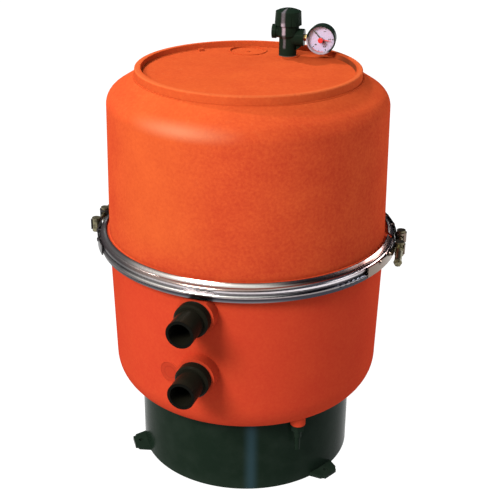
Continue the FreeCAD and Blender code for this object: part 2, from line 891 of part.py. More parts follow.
def make_rivets(name, label, turn):
    """Four rivets that hold two straps to one half ring."""
    rivets = []
    tail = ring_inside + size.seat
    head_base = strap_outside + size.running
    for place in (size.rivet_first, size.rivet_second):
        for angle in (barrel_angle + place, HALF_TURN - barrel_angle - place):
            tag = f"{name}{len(rivets)}"
            shank = cylinder(f"{tag}Shank", size.rivet_radius,
                             head_base - tail + size.rivet_head_height / 2)
            spoke(shank, angle, tail, rivet_height)
            head = doc.addObject("Part::Cone", f"{tag}Head")
            bind(head, "Radius1", size.rivet_head_radius)
            bind(head, "Radius2", size.rivet_radius)
            bind(head, "Height", size.rivet_head_height)
            spoke(head, angle, head_base, rivet_height)
            rivets.append(joined(f"{tag}Whole", [shank, head]))
    group = grouped(name, rivets)
    put(group, (0, 0, 0), about_z(size.clamp_turn + turn))
    finish(group, label)


def make_closure(tag, turn):
    """The bolt with its cross bar, and what it passes through, at one side."""
    label = tag.lower()
    middle = size.parting_height
    low = middle - size.barrel_height / 2
    turned_by = about_z(size.clamp_turn + turn)
    clear = size.bolt_radius + size.seat
    bar = cylinder(f"Bar{tag}", size.barrel_radius, size.barrel_height,
                   (barrel_x, size.barrel_spread, low))
    shank = cylinder(f"Shank{tag}", size.bolt_radius,
                     size.barrel_spread + size.bolt_reach,
                     (barrel_x, size.barrel_spread, middle), TO_FRONT)
    bolt = joined(f"ClampBolt{tag}", [bar, shank])
    barrel = cylinder(f"Barrel{tag}", size.barrel_radius, size.barrel_height,
                      (barrel_x, -size.barrel_spread, low))
    through = cylinder(f"BarrelHole{tag}", clear, 4 * size.barrel_radius,
                       (barrel_x, 2 * size.barrel_radius - size.barrel_spread, middle),
                       TO_FRONT)
    flat = box(f"BarrelFlat{tag}", 2 * size.barrel_radius, size.barrel_radius,
               size.barrel_height,
               (barrel_x - size.barrel_radius, flat_y - size.barrel_radius, low))
    trunnion = without(f"BoltBarrel{tag}", barrel, [through, flat])
    washer = tube(f"ClampWasher{tag}", clear, size.washer_radius, ZERO,
                  size.washer_thickness)
    sleeve = tube(f"ClampSleeve{tag}", clear, size.sleeve_radius, ZERO,
                  size.sleeve_length)
    nut_blank = hexagon(f"NutBlank{tag}", size.nut_flats, size.nut_height)
    nut_bore = cylinder(f"NutBore{tag}", size.bolt_radius + size.running,
                        2 * size.nut_height, (0, 0, -size.nut_height / 2))
    nut = without(f"ClampNut{tag}", nut_blank, [nut_bore])
    for piece, node in ((bolt, "clamp_bolt"), (trunnion, "bolt_barrel")):
        put(piece, (0, 0, 0), turned_by)
        finish(piece, f"{node}_{label}")
    angle = size.clamp_turn + turn
    for piece, node, y in ((washer, "clamp_washer", flat_y),
                           (sleeve, "clamp_sleeve", washer_y),
                           (nut, "clamp_nut", sleeve_y)):
        place = (barrel_x * cosine(angle) - y * sine(angle),
                 barrel_x * sine(angle) + y * cosine(angle), middle)
        put(piece, place, turned_by * TO_FRONT)
        finish(piece, f"{node}_{label}")


def make_clamp():
    make_clamp_half("ClampHalfRear", "clamp_half_rear", ZERO)
    make_clamp_half("ClampHalfFront", "clamp_half_front", HALF_TURN)
    make_rivets("StrapRivetsRear", "strap_rivets_rear", ZERO)
    make_rivets("StrapRivetsFront", "strap_rivets_front", HALF_TURN)
    for tag, turn in closures.items():
        make_strap(f"AnchorStrap{tag}", f"anchor_strap_{tag.lower()}", -1, turn)
        make_strap(f"BarrelStrap{tag}", f"barrel_strap_{tag.lower()}", 1, turn)
        make_closure(tag, turn)


# Pipe ports: a flanged adaptor through each boss, its gasket outside, its nut inside

collar_face = boss_face + size.gasket_thickness
collar_front = collar_face + size.collar_length
tail_end = boss_inside - size.tail_length
socket_start = boss_inside - size.locknut_thickness - 2 * size.seat
socket_inside = size.spigot_radius + size.pipe_slack
socket_outside = socket_inside + size.pipe_wall
pipe_inside = size.spigot_radius - size.pipe_wall


def make_port(tag):
    label = tag.lower()
    height = port_heights[tag]
    adaptor = turned(f"{tag}Adaptor", [
        (size.port_bore_radius, tail_end),
        (size.spigot_radius, tail_end),
        (size.spigot_radius, collar_face),
        (size.collar_radius, collar_face),
        (size.collar_radius, collar_front - size.collar_chamfer),
        (size.collar_radius - size.collar_chamfer, collar_front),
        (size.spigot_radius, collar_front),
        (size.spigot_radius, collar_front + size.spigot_length),
        (size.port_bore_radius, collar_front + size.spigot_length),
    ])
    gasket = tube(f"{tag}Gasket", size.spigot_radius + size.seat, size.gasket_radius,
                  boss_face, collar_face)
    blank = hexagon(f"{tag}LocknutBlank", size.locknut_flats, size.locknut_thickness,
                    (0, 0, boss_inside - size.locknut_thickness))
    bore = cylinder(f"{tag}LocknutBore", size.spigot_radius + size.seat,
                    2 * size.locknut_thickness,
                    (0, 0, boss_inside - 3 * size.locknut_thickness / 2))
    locknut = without(f"{tag}Locknut", blank, [bore])
    for piece, node in ((adaptor, "adaptor"), (gasket, "gasket"), (locknut, "locknut")):
        put(piece, (0, 0, height), TO_FRONT)
        finish(piece, f"{label}_{node}")


# Inner pipework: inlet elbow, riser and diffuser; outlet pipe, elbow, hub and laterals

def make_elbow(name, inner, outer, flat_leg, standing_leg):
    """A bend from -Y to +Z whose two centre lines meet at the body's origin."""
    body = new_body(name)
    mouth = new_sketch(body, f"{name}Mouth", "XZ_Plane", size.pipe_bend)
    draw_circle(mouth, ZERO, ZERO, outer, "outer")
    draw_circle(mouth, ZERO, ZERO, inner, "inner")
    pad(body, f"{name}FlatLeg", mouth, flat_leg)
    knee = new_sketch(body, f"{name}Knee", "XZ_Plane", size.pipe_bend, size.pipe_bend)
    draw_circle(knee, ZERO, -size.pipe_bend, outer, "outer")
    draw_circle(knee, ZERO, -size.pipe_bend, inner, "inner")
    bend = body.newObject("PartDesign::Revolution", f"{name}Bend")
    bend.Profile = knee
    bend.ReferenceAxis = (knee, ["H_Axis"])
    bend.Angle = 90
    top = new_sketch(body, f"{name}Top", "XY_Plane", size.pipe_bend)
    draw_circle(top, ZERO, ZERO, outer, "outer")
    draw_circle(top, ZERO, ZERO, inner, "inner")
    pad(body, f"{name}StandingLeg", top, standing_leg)
    return body


def make_riser():
    across = size.tank_radius - size.riser_inset
    knee = upper_port_height + size.pipe_bend
    standing_leg = size.socket_depth + size.wall
    elbow = make_elbow("InletElbow", socket_inside, socket_outside,
                       socket_start - across - size.pipe_bend, standing_leg)
    finish(put(elbow, (0, -across, upper_port_height)), "inlet_elbow")
    riser_bottom = knee + standing_leg - size.socket_depth
    lid = size.shoulder_height + size.diffuser_rise
    riser_top = lid - size.diffuser_height
    riser = tube("RiserPipe", pipe_inside, size.spigot_radius, riser_bottom, riser_top)
    finish(put(riser, (0, -across, 0)), "riser_pipe")
    skirt = riser_top - size.socket_depth
    head = turned("DiffuserHead", [
        (socket_inside, skirt),
        (socket_outside, skirt),
        (socket_outside, riser_top),
        (size.diffuser_radius, riser_top + size.wall),
        (size.diffuser_radius, lid),
        (ZERO, lid),
        (ZERO, lid - size.pipe_wall),
        (size.diffuser_radius - size.pipe_wall, lid - size.pipe_wall),
        (size.diffuser_radius - size.pipe_wall, riser_top + size.wall),
        (pipe_inside, riser_top + size.seat),
        (socket_inside, riser_top + size.seat),
    ])
    slots = []
    slot_pairs = 3
    slot_bottom = riser_top + 2 * size.wall
    slot_height = size.diffuser_height - 3 * size.wall
    half_x = size.diffuser_radius + size.wall
    half_y = size.diffuser_slot / 2
    for index in range(slot_pairs):
        slot = box(f"DiffuserSlot{index}", 2 * half_x, size.diffuser_slot, slot_height)
        angle = HALF_TURN * index / slot_pairs
        slots.append(put(slot, (half_y * sine(angle) - half_x * cosine(angle),
                                -half_x * sine(angle) - half_y * cosine(angle),
                                slot_bottom), about_z(angle)))
    slotted = without("DiffuserHeadSlotted", head, slots)
    finish(put(slotted, (0, -across, 0)), "diffuser_head")


def make_collector():
    height = lower_port_height
    pipe_end = size.pipe_bend + size.wall
    pipe = tube("OutletPipe", socket_inside, socket_outside, pipe_end, socket_start)
    finish(put(pipe, (0, 0, height), TO_FRONT), "outlet_pipe")
    hub_top = lateral_height + size.hub_height / 2
    hub_under = lateral_height - size.hub_height / 2
    socket_floor = hub_top + size.wall
    standing_leg = height - size.pipe_bend - socket_floor
    elbow = make_elbow("OutletElbow", pipe_inside, size.spigot_radius,
                       size.socket_depth + size.wall, standing_leg)
    finish(put(elbow, (0, 0, height), UPSIDE_DOWN), "outlet_elbow")
    inside = size.hub_radius - size.hub_wall
    foot = dish_bottom + size.wall + size.seat
    body = new_body("CollectorHub")
    revolve(body, "HubTurn", [
        (ZERO, foot),
        (size.hub_foot_radius, foot),
        (size.hub_foot_radius, hub_under),
        (size.hub_radius, hub_under),
        (size.hub_radius, hub_top),
        (socket_outside, hub_top),
        (socket_outside, socket_floor + size.socket_depth),
        (socket_inside, socket_floor + size.socket_depth),
        (socket_inside, socket_floor),
        (pipe_inside, socket_floor),
        (pipe_inside, hub_top - size.hub_wall / 2),
        (inside, hub_top - size.hub_wall / 2),
        (inside, hub_under + size.hub_wall / 2),
        (ZERO, hub_under + size.hub_wall / 2),
    ])
    mouth = new_sketch(body, "LateralHoleCircle", "XZ_Plane", size.hub_radius + size.wall)
    draw_circle(mouth, ZERO, lateral_height, size.lateral_radius + size.seat)
    hole = pad(body, "LateralHole", mouth, 2 * size.hub_wall + size.wall, cut=True)
    repeat_around(body, "LateralHoles", hole, size.lateral_count)
    finish(body, "collector_hub")
    for index in range(int(size.lateral_count.number)):
        make_lateral(index)


def make_lateral(index):
    """A closed-end tube with two long slots in its underside."""
    start = size.hub_radius - size.hub_wall
    bore = size.lateral_radius - size.lateral_wall
    name = f"Lateral{index + 1}"
    body = turned(name, [
        (bore, start),
        (size.lateral_radius, start),
        (size.lateral_radius, size.lateral_end),
        (ZERO, size.lateral_end),
        (ZERO, size.lateral_end - size.lateral_wall),
        (bore, size.lateral_end - size.lateral_wall),
    ])
    slots = []
    for side in (1, -1):
        slot = box(f"{name}Slot{len(slots)}", size.lateral_slot, size.lateral_radius,
                   size.lateral_end - size.hub_radius - 4 * size.wall)
        x = side * size.lateral_radius / 2 - size.lateral_slot / 2
        slots.append(put(slot, (x, -size.lateral_radius,
                                size.hub_radius + 2 * size.wall)))
    slotted = without(f"{name}Slotted", body, slots)
    step = as_size(360) / size.lateral_count
    put(slotted, (0, 0, lateral_height), about_z(index * step) * TO_FRONT)
    finish(slotted, f"lateral_{index + 1}")


# Drain: a threaded body up through the bowl's boss, its seal, plug and strainer

hex_top = drain_boss_bottom - size.drain_seal_thickness
hex_bottom = hex_top - size.drain_hex_height
neck_bottom = hex_bottom - size.drain_neck_height
drain_seat = neck_bottom + size.drain_stem_length
drain_ring_top = neck_bottom + 2 * size.drain_stem_length / 3
drain_groove = size.drain_stem_radius - size.drain_ring_section


def place_drain(piece, node):
    put(piece, (drain_x, drain_y, 0), about_z(size.drain_azimuth))
    finish(piece, node)


def make_drain_body():
    guide = size.drain_stem_radius + size.running
    blank = turned("DrainThread", [
        (size.drain_bore_radius, drain_seat),
        (size.drain_bore_radius, drain_thread_top),
        (size.drain_thread_radius, drain_thread_top),
        (size.drain_thread_radius, hex_bottom + size.wall),
        (size.drain_neck_radius, hex_bottom + size.wall),
        (size.drain_neck_radius, neck_bottom),
        (guide, neck_bottom),
        (guide, drain_seat),
    ])
    flats = hexagon("DrainHexBlank", size.drain_hex_flats, size.drain_hex_height,
                    (0, 0, hex_bottom))
    core = cylinder("DrainHexCore", size.drain_thread_radius - size.running,
                    2 * size.drain_hex_height, (0, 0, hex_bottom - size.wall))
    collar = without("DrainHex", flats, [core])
    place_drain(joined("DrainBody", [blank, collar]), "drain_body")


def make_drain():
    make_drain_body()
    seal = tube("DrainSeal", size.drain_thread_radius + size.seat,
                size.drain_seal_radius, hex_top, drain_boss_bottom)
    place_drain(seal, "drain_seal")
    ring_bottom = drain_ring_top - size.drain_ring_section
    ring = tube("DrainOring", drain_groove + size.running, size.drain_stem_radius,
                ring_bottom, drain_ring_top)
    place_drain(ring, "drain_oring")
    knob_top = neck_bottom - size.seat
    knob_bottom = knob_top - size.drain_knob_height
    rim = size.drain_knob_radius / 10
    plug = turned("DrainPlug", [
        (ZERO, knob_bottom),
        (size.drain_knob_radius - 2 * rim, knob_bottom),
        (size.drain_knob_radius - 2 * rim, knob_top - 4 * rim),
        (size.drain_knob_radius, knob_top - 3 * rim),
        (size.drain_knob_radius, knob_top),
        (size.drain_stem_radius, knob_top),
        (size.drain_stem_radius, ring_bottom - size.running),
        (drain_groove, ring_bottom - size.running),
        (drain_groove, drain_ring_top + size.running),
        (size.drain_stem_radius, drain_ring_top + size.running),
        (size.drain_stem_radius, drain_seat - size.seat),
        (ZERO, drain_seat - size.seat),
    ])
    place_drain(plug, "drain_plug")
    skirt = drain_thread_top - size.strainer_height / 3
    lid = skirt + size.strainer_height
    cage = turned("DrainStrainer", [
        (size.drain_thread_radius + size.seat, skirt),
        (size.strainer_radius, skirt),
        (size.strainer_radius, lid),
        (ZERO, lid),
        (ZERO, lid - size.lateral_wall),
        (size.drain_thread_radius + size.seat, lid - size.lateral_wall),
    ])
    reach = 3 * size.strainer_radius
    half_slot = size.strainer_slot / 2
    slots = []
    for place, turn in (((-reach / 2, -half_slot), 0), ((half_slot, -reach / 2), 90)):
        slot = box(f"StrainerSlot{turn}", reach, size.strainer_slot,
                   size.strainer_height / 3)
        slots.append(put(slot, (*place, skirt + size.strainer_height / 2),
                         about_z(turn)))
    place_drain(without("DrainStrainerSlotted", cage, slots), "drain_strainer")


# Bleed valve on the deck, built round its own axis with heights from the deck

valve_foot = size.valve_collar_rise + size.valve_seal_thickness


def place_on_deck(piece, node):
    put(piece, (size.valve_across, size.valve_back, deck_height),
        about_z(size.head_turn))
    finish(piece, node)


def make_valve_body():
    body = new_body("ValveBody")
    revolve(body, "ValveTurn", [
        (ZERO, -size.valve_tail_drop),
        (size.valve_tail_radius, -size.valve_tail_drop),
        (size.valve_tail_radius, valve_foot),
        (size.column_radius, valve_foot),
        (size.column_radius, size.column_top),
        (size.valve_barrel_radius, size.column_top + size.wall),
        (size.valve_barrel_radius, size.barrel_top),
        (size.neck_radius, size.barrel_top),
        (size.neck_radius, size.neck_top),
        (ZERO, size.neck_top),
    ])
    vent = new_sketch(body, "VentCircle", "YZ_Plane")
    draw_circle(vent, ZERO, size.vent_height, size.vent_neck_radius)
    pad(body, "VentNeck", vent, size.vent_reach, reverse=True)
    nozzle = new_sketch(body, "NozzleCircle", "YZ_Plane", -size.vent_shoulder)
    draw_circle(nozzle, ZERO, size.vent_height, size.vent_radius)
    pad(body, "Nozzle", nozzle, size.vent_reach - size.vent_shoulder, reverse=True)
    branch = new_sketch(body, "BranchCircle", "YZ_Plane")
    draw_circle(branch, ZERO, size.branch_height, size.branch_radius)
    pad(body, "Branch", branch, size.branch_reach)
    web = new_sketch(body, "WebOutline", "XZ_Plane")
    under = size.branch_height - size.branch_radius
    web_foot = under - size.branch_radius / 2
    draw_outline(web, [
        (ZERO, web_foot),
        (size.column_radius, web_foot),
        (size.branch_reach, under + size.branch_radius / 4),
        (size.branch_reach, size.branch_height),
        (ZERO, size.branch_height),
    ])
    pad(body, "Web", web, size.branch_radius / 2, both=True)
    revolve(body, "ValveBores", [
        (ZERO, -size.valve_tail_drop),
        (size.inlet_bore_radius, -size.valve_tail_drop),
        (size.inlet_bore_radius, size.valve_seat_height),
        (size.chamber_radius, size.valve_seat_height),
        (size.chamber_radius, size.neck_top),
        (ZERO, size.neck_top),
    ], cut=True)
    vent_hole = new_sketch(body, "VentHoleCircle", "YZ_Plane", -size.vent_reach)
    draw_circle(vent_hole, ZERO, size.vent_height + size.seat, size.vent_bore_radius)
    pad(body, "VentHole", vent_hole, size.vent_reach, cut=True, reverse=True)
    stem_hole = new_sketch(body, "StemHoleCircle", "YZ_Plane", size.branch_reach)
    draw_circle(stem_hole, ZERO, size.branch_height, size.gauge_stem_radius + size.seat)
    pad(body, "StemHole", stem_hole, size.branch_reach, cut=True)
    place_on_deck(body, "valve_body")


def make_bleed_spindle():
    piston = size.chamber_radius - size.spindle_slack
    stem = size.spindle_stem_radius
    disc_bottom = size.valve_seat_height + size.seat
    piston_bottom = size.neck_top - size.piston_height
    ring_low = piston_bottom + size.bleed_ring_section
    ring_high = ring_low + size.bleed_ring_section
    groove_floor = piston - size.bleed_ring_section
    spindle = turned("BleedSpindle", [
        (ZERO, disc_bottom),
        (piston, disc_bottom),
        (piston, disc_bottom + size.spindle_disc),
        (stem, disc_bottom + size.spindle_disc),
        (stem, piston_bottom),
        (piston, piston_bottom),
        (piston, ring_low - size.running),
        (groove_floor, ring_low - size.running),
        (groove_floor, ring_high + size.running),
        (piston, ring_high + size.running),
        (piston, size.neck_top),
        (stem, size.neck_top),
        (stem, size.cap_shoulder),
        (ZERO, size.cap_shoulder),
    ])
    place_on_deck(spindle, "bleed_spindle")
    ring = tube("BleedOring", groove_floor + size.running,
                size.chamber_radius - size.running, ring_low, ring_high)
    place_on_deck(ring, "bleed_oring")


def make_bleed_cap():
    stem = size.spindle_stem_radius + size.seat
    skirt_inside = size.valve_barrel_radius + size.seat
    neck_inside = size.neck_radius + size.seat
    dome_rise = size.cap_top - size.cap_shoulder
    dome = (size.cap_top_radius * size.cap_top_radius
            + dome_rise * dome_rise) / (2 * dome_rise)
    cap = new_body("BleedCap")
    revolve(cap, "CapTurn", [
        (skirt_inside, size.cap_bottom),
        (size.cap_bottom_radius, size.cap_bottom),
        (size.cap_top_radius, size.cap_shoulder),
        (ZERO, size.cap_top),
        (ZERO, size.cap_shoulder + size.seat),
        (stem, size.cap_shoulder + size.seat),
        (stem, size.neck_top + 3 * size.seat),
        (neck_inside, size.neck_top + 3 * size.seat),
        (neck_inside, size.barrel_top + 3 * size.seat),
        (skirt_inside, size.barrel_top + 3 * size.seat),
    ], {2: (dome, 1)})
    groove = new_sketch(cap, "FluteCircle", "XY_Plane", size.cap_top)
    draw_circle(groove, ZERO, size.cap_bottom_radius + size.flute_radius / 2,
                size.flute_radius)
    flute = pad(cap, "Flute", groove, 2 * size.cap_bottom_radius, cut=True)
    repeat_around(cap, "Flutes", flute, size.flute_count)
    place_on_deck(cap, "bleed_cap")


def make_bleed_valve():
    make_valve_body()
    seal = tube("ValveSeal", size.valve_tail_radius + size.seat, size.column_radius,
                size.valve_collar_rise, valve_foot)
    place_on_deck(seal, "valve_seal")
    nut_bottom = -size.wall - size.valve_nut_thickness
    blank = hexagon("ValveLocknutBlank", size.valve_nut_flats, size.valve_nut_thickness,
                    (0, 0, nut_bottom))
    bore = cylinder("ValveLocknutBore", size.valve_tail_radius + size.seat,
                    2 * size.valve_nut_thickness,
                    (0, 0, nut_bottom - size.valve_nut_thickness / 2))
    place_on_deck(without("ValveLocknut", blank, [bore]), "valve_locknut")
    make_bleed_spindle()
    make_bleed_cap()


# Pressure gauge, built with its face along its own +Z and its stem towards -X

case_radius = size.gauge_radius - size.gauge_skin + size.seat
case_inside = case_radius - size.gauge_skin
case_floor = size.gauge_skin - size.gauge_back
lens_front = size.gauge_front - size.gauge_skin
lens_back = lens_front - size.lens_thickness


def place_gauge(piece, node, turn=0):
    """Stand a piece up in the gauge; turn counts anticlockwise on the face."""
    x = size.valve_across + size.gauge_from_valve * cosine(size.head_turn)
    y = size.valve_back + size.gauge_from_valve * sine(size.head_turn)
    put(piece, (x, y, deck_height + size.branch_height),
        about_z(size.head_turn) * TO_FRONT * about_z(turn))
    finish(piece, node)


def make_gauge_housing():
    case_edge = lens_back - size.seat
    cup = turned("GaugeCup", [
        (ZERO, -size.gauge_back),
        (case_radius - size.gauge_skin, -size.gauge_back),
        (case_radius, case_floor),
        (case_radius, case_edge),
        (case_inside, case_edge),
        (case_inside, case_floor),
        (ZERO, case_floor),
    ])
    hole = cylinder("GaugeStemHole", size.gauge_stem_radius + size.seat,
                    size.gauge_radius, (-size.gauge_radius / 2, 0, 0), TO_LEFT)
    place_gauge(without("GaugeCase", cup, [hole]), "gauge_case")
    bezel_inside = size.gauge_radius - size.bezel_width
    cover = case_radius + size.seat
    bezel = turned("GaugeBezel", [
        (cover, size.gauge_front - size.bezel_depth),
        (size.gauge_radius, size.gauge_front - size.bezel_depth),
        (size.gauge_radius, size.gauge_front - size.gauge_skin / 2),
        (size.gauge_radius - size.gauge_skin / 2, size.gauge_front),
        (bezel_inside, size.gauge_front),
        (bezel_inside, lens_front),
        (cover, lens_front),
    ])
    place_gauge(bezel, "gauge_bezel")
    lens = tube("GaugeLens", size.set_shaft_radius + size.running, case_radius,
                lens_back, lens_front)
    place_gauge(lens, "gauge_lens")
    dial = tube("GaugeDial", size.arbor_radius + size.seat, case_inside - size.seat,
                size.dial_height, size.dial_height + size.dial_thickness)
    place_gauge(dial, "gauge_dial")


def make_pointers():
    width = size.needle_width / 2
    needle = new_body("GaugeNeedle")
    blade = new_sketch(needle, "NeedleOutline", "XY_Plane", size.needle_height)
    draw_outline(blade, [
        (-size.needle_tail, -width),
        (ZERO, -width),
        (size.needle_length, -width / 4),
        (size.needle_length, width / 4),
        (ZERO, width),
        (-size.needle_tail, width),
    ])
    pad(needle, "NeedleBlade", blade, size.needle_thickness)
    hub = new_sketch(needle, "NeedleHubCircle", "XY_Plane",
                     size.needle_height - size.needle_thickness)
    draw_circle(hub, ZERO, ZERO, size.needle_width)
    pad(needle, "NeedleHub", hub, 2 * size.needle_thickness)
    place_gauge(needle, "gauge_needle", size.needle_rest)
    arm = new_body("SetPointer")
    plan = new_sketch(arm, "SetArmOutline", "XY_Plane", size.set_arm_height)
    draw_outline(plan, [
        (ZERO, -width),
        (size.set_arm_length, -width / 4),
        (size.set_arm_length, width / 4),
        (ZERO, width),
    ])
    pad(arm, "SetArm", plan, size.needle_thickness)
    knob_top = size.gauge_front + size.set_knob_height
    revolve(arm, "SetKnob", [
        (ZERO, size.set_arm_height),
        (size.set_shaft_radius, size.set_arm_height),
        (size.set_shaft_radius, size.gauge_front),
        (size.set_knob_radius, size.gauge_front),
        (size.set_knob_radius, knob_top - size.gauge_skin / 2),
        (size.set_knob_radius - size.gauge_skin / 2, knob_top),
        (ZERO, knob_top),
    ])
    place_gauge(arm, "set_pointer", size.set_pointer_rest)


def make_gauge_works():
    frame_radius = size.coil_radius / 2
    frame = cylinder("MovementFrame", frame_radius,
                     size.dial_height - case_floor - size.seat, (0, 0, case_floor))
    arbor = cylinder("MovementArbor", size.arbor_radius,
                     size.needle_height - size.needle_thickness - case_floor,
                     (0, 0, case_floor))
    place_gauge(joined("GaugeMovement", [frame, arbor]), "gauge_movement")
    inner = size.coil_radius - size.coil_width / 2
    outer = inner + size.coil_width
    half_depth = size.coil_depth / 2
    coil = new_body("BourdonTube")
    revolve(coil, "CoilTurn", [
        (inner, -half_depth),
        (outer, -half_depth),
        (outer, half_depth),
        (inner, half_depth),
    ], angle=size.coil_sweep)
    put(coil, (0, 0, -size.dial_thickness))
    place_gauge(grouped("BourdonCoil", [coil]), "bourdon_tube", HALF_TURN)
    make_gauge_stem(outer + size.seat)


def make_gauge_stem(start):
    """Threaded into the branch, hexagonal outside, ending at the coil's root."""
    branch_end = size.gauge_from_valve - size.branch_reach
    depth = branch_end - start + size.branch_reach / 2
    rod = cylinder("StemRod", size.gauge_stem_radius, depth, (-start, 0, 0), TO_LEFT)
    gap = branch_end - case_radius
    flats = hexagon("StemHex", size.gauge_stem_flats, gap - 2 * size.seat,
                    (-case_radius - size.seat, 0, 0), TO_LEFT)
    place_gauge(joined("GaugeStem", [rod, flats]), "gauge_stem")


def build_all():
    make_lower_shell()
    make_upper_shell()
    make_flange_seal()
    make_base_ring()
    make_clamp()
    for tag in port_heights:
        make_port(tag)
    make_riser()
    make_collector()
    make_drain()
    make_bleed_valve()
    make_gauge_housing()
    make_pointers()
    make_gauge_works()


def check_all():
    """Stop with a plain message where a feature or a finished shape has failed."""
    faults = [thing.Name for thing in doc.Objects
              if "Invalid" in thing.State or "Error" in thing.State]
    for part in parts:
        if part.Shape.isNull() or not part.Shape.isValid():
            faults.append(part.Label)
    if faults:
        raise RuntimeError("failed: " + ", ".join(faults))


def write_all():
    os.makedirs("parts", exist_ok=True)
    for part in parts:
        part.Shape.exportStep(os.path.join("parts", f"{part.Label}.step"))
        print(f"{part.Label}: {len(part.Shape.Solids)} solids, "
              f"{part.Shape.Volume / 1000:.2f} cm3")


build_all()
doc.recompute()
check_all()
write_all()
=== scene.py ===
# %% [markdown]
# # A side-port filter tank, dressed for its picture
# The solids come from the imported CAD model: every shell, ring, bolt and pipe is already in
# its true place and size. This lesson gives each of them the finish that the real piece has,
# adds the fine marks that CAD leaves out, and sets up a plain studio.

# %% Load the tank
import json
import math

import bpy
from mathutils import Matrix, Vector


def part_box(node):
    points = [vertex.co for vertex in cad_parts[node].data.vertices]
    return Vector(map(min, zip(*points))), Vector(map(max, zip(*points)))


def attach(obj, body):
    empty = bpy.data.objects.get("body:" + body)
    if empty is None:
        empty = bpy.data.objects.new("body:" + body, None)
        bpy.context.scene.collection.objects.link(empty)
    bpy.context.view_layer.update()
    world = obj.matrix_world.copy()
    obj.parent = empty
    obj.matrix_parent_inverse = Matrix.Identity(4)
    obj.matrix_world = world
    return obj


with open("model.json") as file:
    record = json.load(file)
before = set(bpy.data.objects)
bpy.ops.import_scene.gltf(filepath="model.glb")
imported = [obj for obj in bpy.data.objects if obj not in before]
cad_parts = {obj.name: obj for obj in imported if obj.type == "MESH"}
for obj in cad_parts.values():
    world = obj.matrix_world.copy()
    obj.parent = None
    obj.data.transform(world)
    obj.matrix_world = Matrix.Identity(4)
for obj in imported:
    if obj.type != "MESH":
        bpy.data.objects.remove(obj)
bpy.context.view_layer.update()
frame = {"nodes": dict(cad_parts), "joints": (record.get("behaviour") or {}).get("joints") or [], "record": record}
joints = {joint["name"]: joint for joint in frame["joints"]}
MM = 0.001

# %% [markdown]
# A finish is a small network of nodes. Written out node by node it is long and hard to read,
# so `Wire` stands for one output socket and knows how to add, subtract, multiply and divide.
# The line `0.4 + 0.1 * grain` then makes its own Math nodes.


# %% A socket that can be used in sums
class Wire:
    def __init__(self, network, socket):
        self.network = network
        self.socket = socket

    def math(self, operation, *values):
        inputs = dict(enumerate(values))
        return self.network.node("ShaderNodeMath", {"operation": operation}, inputs)

    def __add__(self, other):
        return self.math("ADD", self, other)

    def __sub__(self, other):
        return self.math("SUBTRACT", self, other)

    def __rsub__(self, other):
        return self.math("SUBTRACT", other, self)

    def __mul__(self, other):
        return self.math("MULTIPLY", self, other)

    def __truediv__(self, other):
        return self.math("DIVIDE", self, other)

    __radd__ = __add__
    __rmul__ = __mul__

    def power(self, exponent):
        return self.math("POWER", self, exponent)


# %% [markdown]
# Every other node is made by one method, `Network.node`. It sets the node up first, because a
# node's sockets can change with its settings, and then fills in the sockets with numbers or
# wires. A `Finish` is such a network round one shader. The sky is another, so both share it.


# %% A network, and a finish with one shader
class Network:
    def __init__(self, tree):
        self.tree = tree

    def node(self, kind, settings=None, inputs=None, output=0):
        made = self.tree.nodes.new(kind)
        for name, value in (settings or {}).items():
            if name == "stops":
                self.set_stops(made.color_ramp, value)
            else:
                setattr(made, name, value)
        for key, value in (inputs or {}).items():
            self.feed(made.inputs[key], value)
        return Wire(self, made.outputs[output])

    def set_stops(self, ramp, stops):
        while len(ramp.elements) < len(stops):
            ramp.elements.new(0.5)
        for element, (position, grey) in zip(ramp.elements, stops):
            element.position = position
            element.color = (grey, grey, grey, 1)

    def feed(self, socket, value):
        if isinstance(value, Wire):
            self.tree.links.new(value.socket, socket)
        else:
            socket.default_value = value


class Finish(Network):
    def __init__(self, name, **constants):
        self.material = bpy.data.materials.new(name)
        self.material.use_nodes = True
        super().__init__(self.material.node_tree)
        self.shader = self.tree.nodes["Principled BSDF"]
        self.surface(**constants)

    def surface(self, **values):
        for name, value in values.items():
            self.feed(self.shader.inputs[name.replace("_", " ")], value)


# %% [markdown]
# Most finishes use the same few patterns. `grain` is a cloudy noise whose speckles are a given
# number of millimetres wide, and `ramp` sharpens it into patches. `slope` rises softly from 0 to
# 1 between two values, and `window` is 1 between two of them. `blend` mixes two colours through
# a Mix node, because a Math node would turn them grey, and `layered` lays several colours over
# each other, as coats of paint are. `relief` turns a pattern into bumps of a real depth.


# %% Patterns in millimetres
def place(finish):
    return finish.node("ShaderNodeTexCoord", output="Object")


def grain(finish, speckle, detail, roughness=0.5, where=None):
    inputs = {"Vector": where or place(finish), "Scale": 1 / (speckle * MM)}
    inputs.update({"Detail": detail, "Roughness": roughness})
    return finish.node("ShaderNodeTexNoise", None, inputs, "Fac")


def ramp(value, *stops):
    return value.network.node("ShaderNodeValToRGB", {"stops": stops}, {"Fac": value}, "Color")


def slope(value, low, high):
    ends = {"Value": value, "From Min": low, "From Max": high}
    return value.network.node("ShaderNodeMapRange", {"interpolation_type": "SMOOTHSTEP"}, ends)


def window(value, low, high, soft):
    rise = slope(value, low - soft, low + soft)
    return rise * (1 - slope(value, high - soft, high + soft))


def blend(amount, first, second):
    colours = {0: amount, 6: first, 7: second}
    return amount.network.node("ShaderNodeMix", {"data_type": "RGBA"}, colours, 2)


def layered(colour, *layers):
    for amount, shade in layers:
        colour = blend(amount, colour, shade)
    return colour


def relief(finish, pattern, depth, strength):
    inputs = {"Height": pattern, "Distance": depth * MM, "Strength": strength}
    finish.surface(Normal=finish.node("ShaderNodeBump", None, inputs))


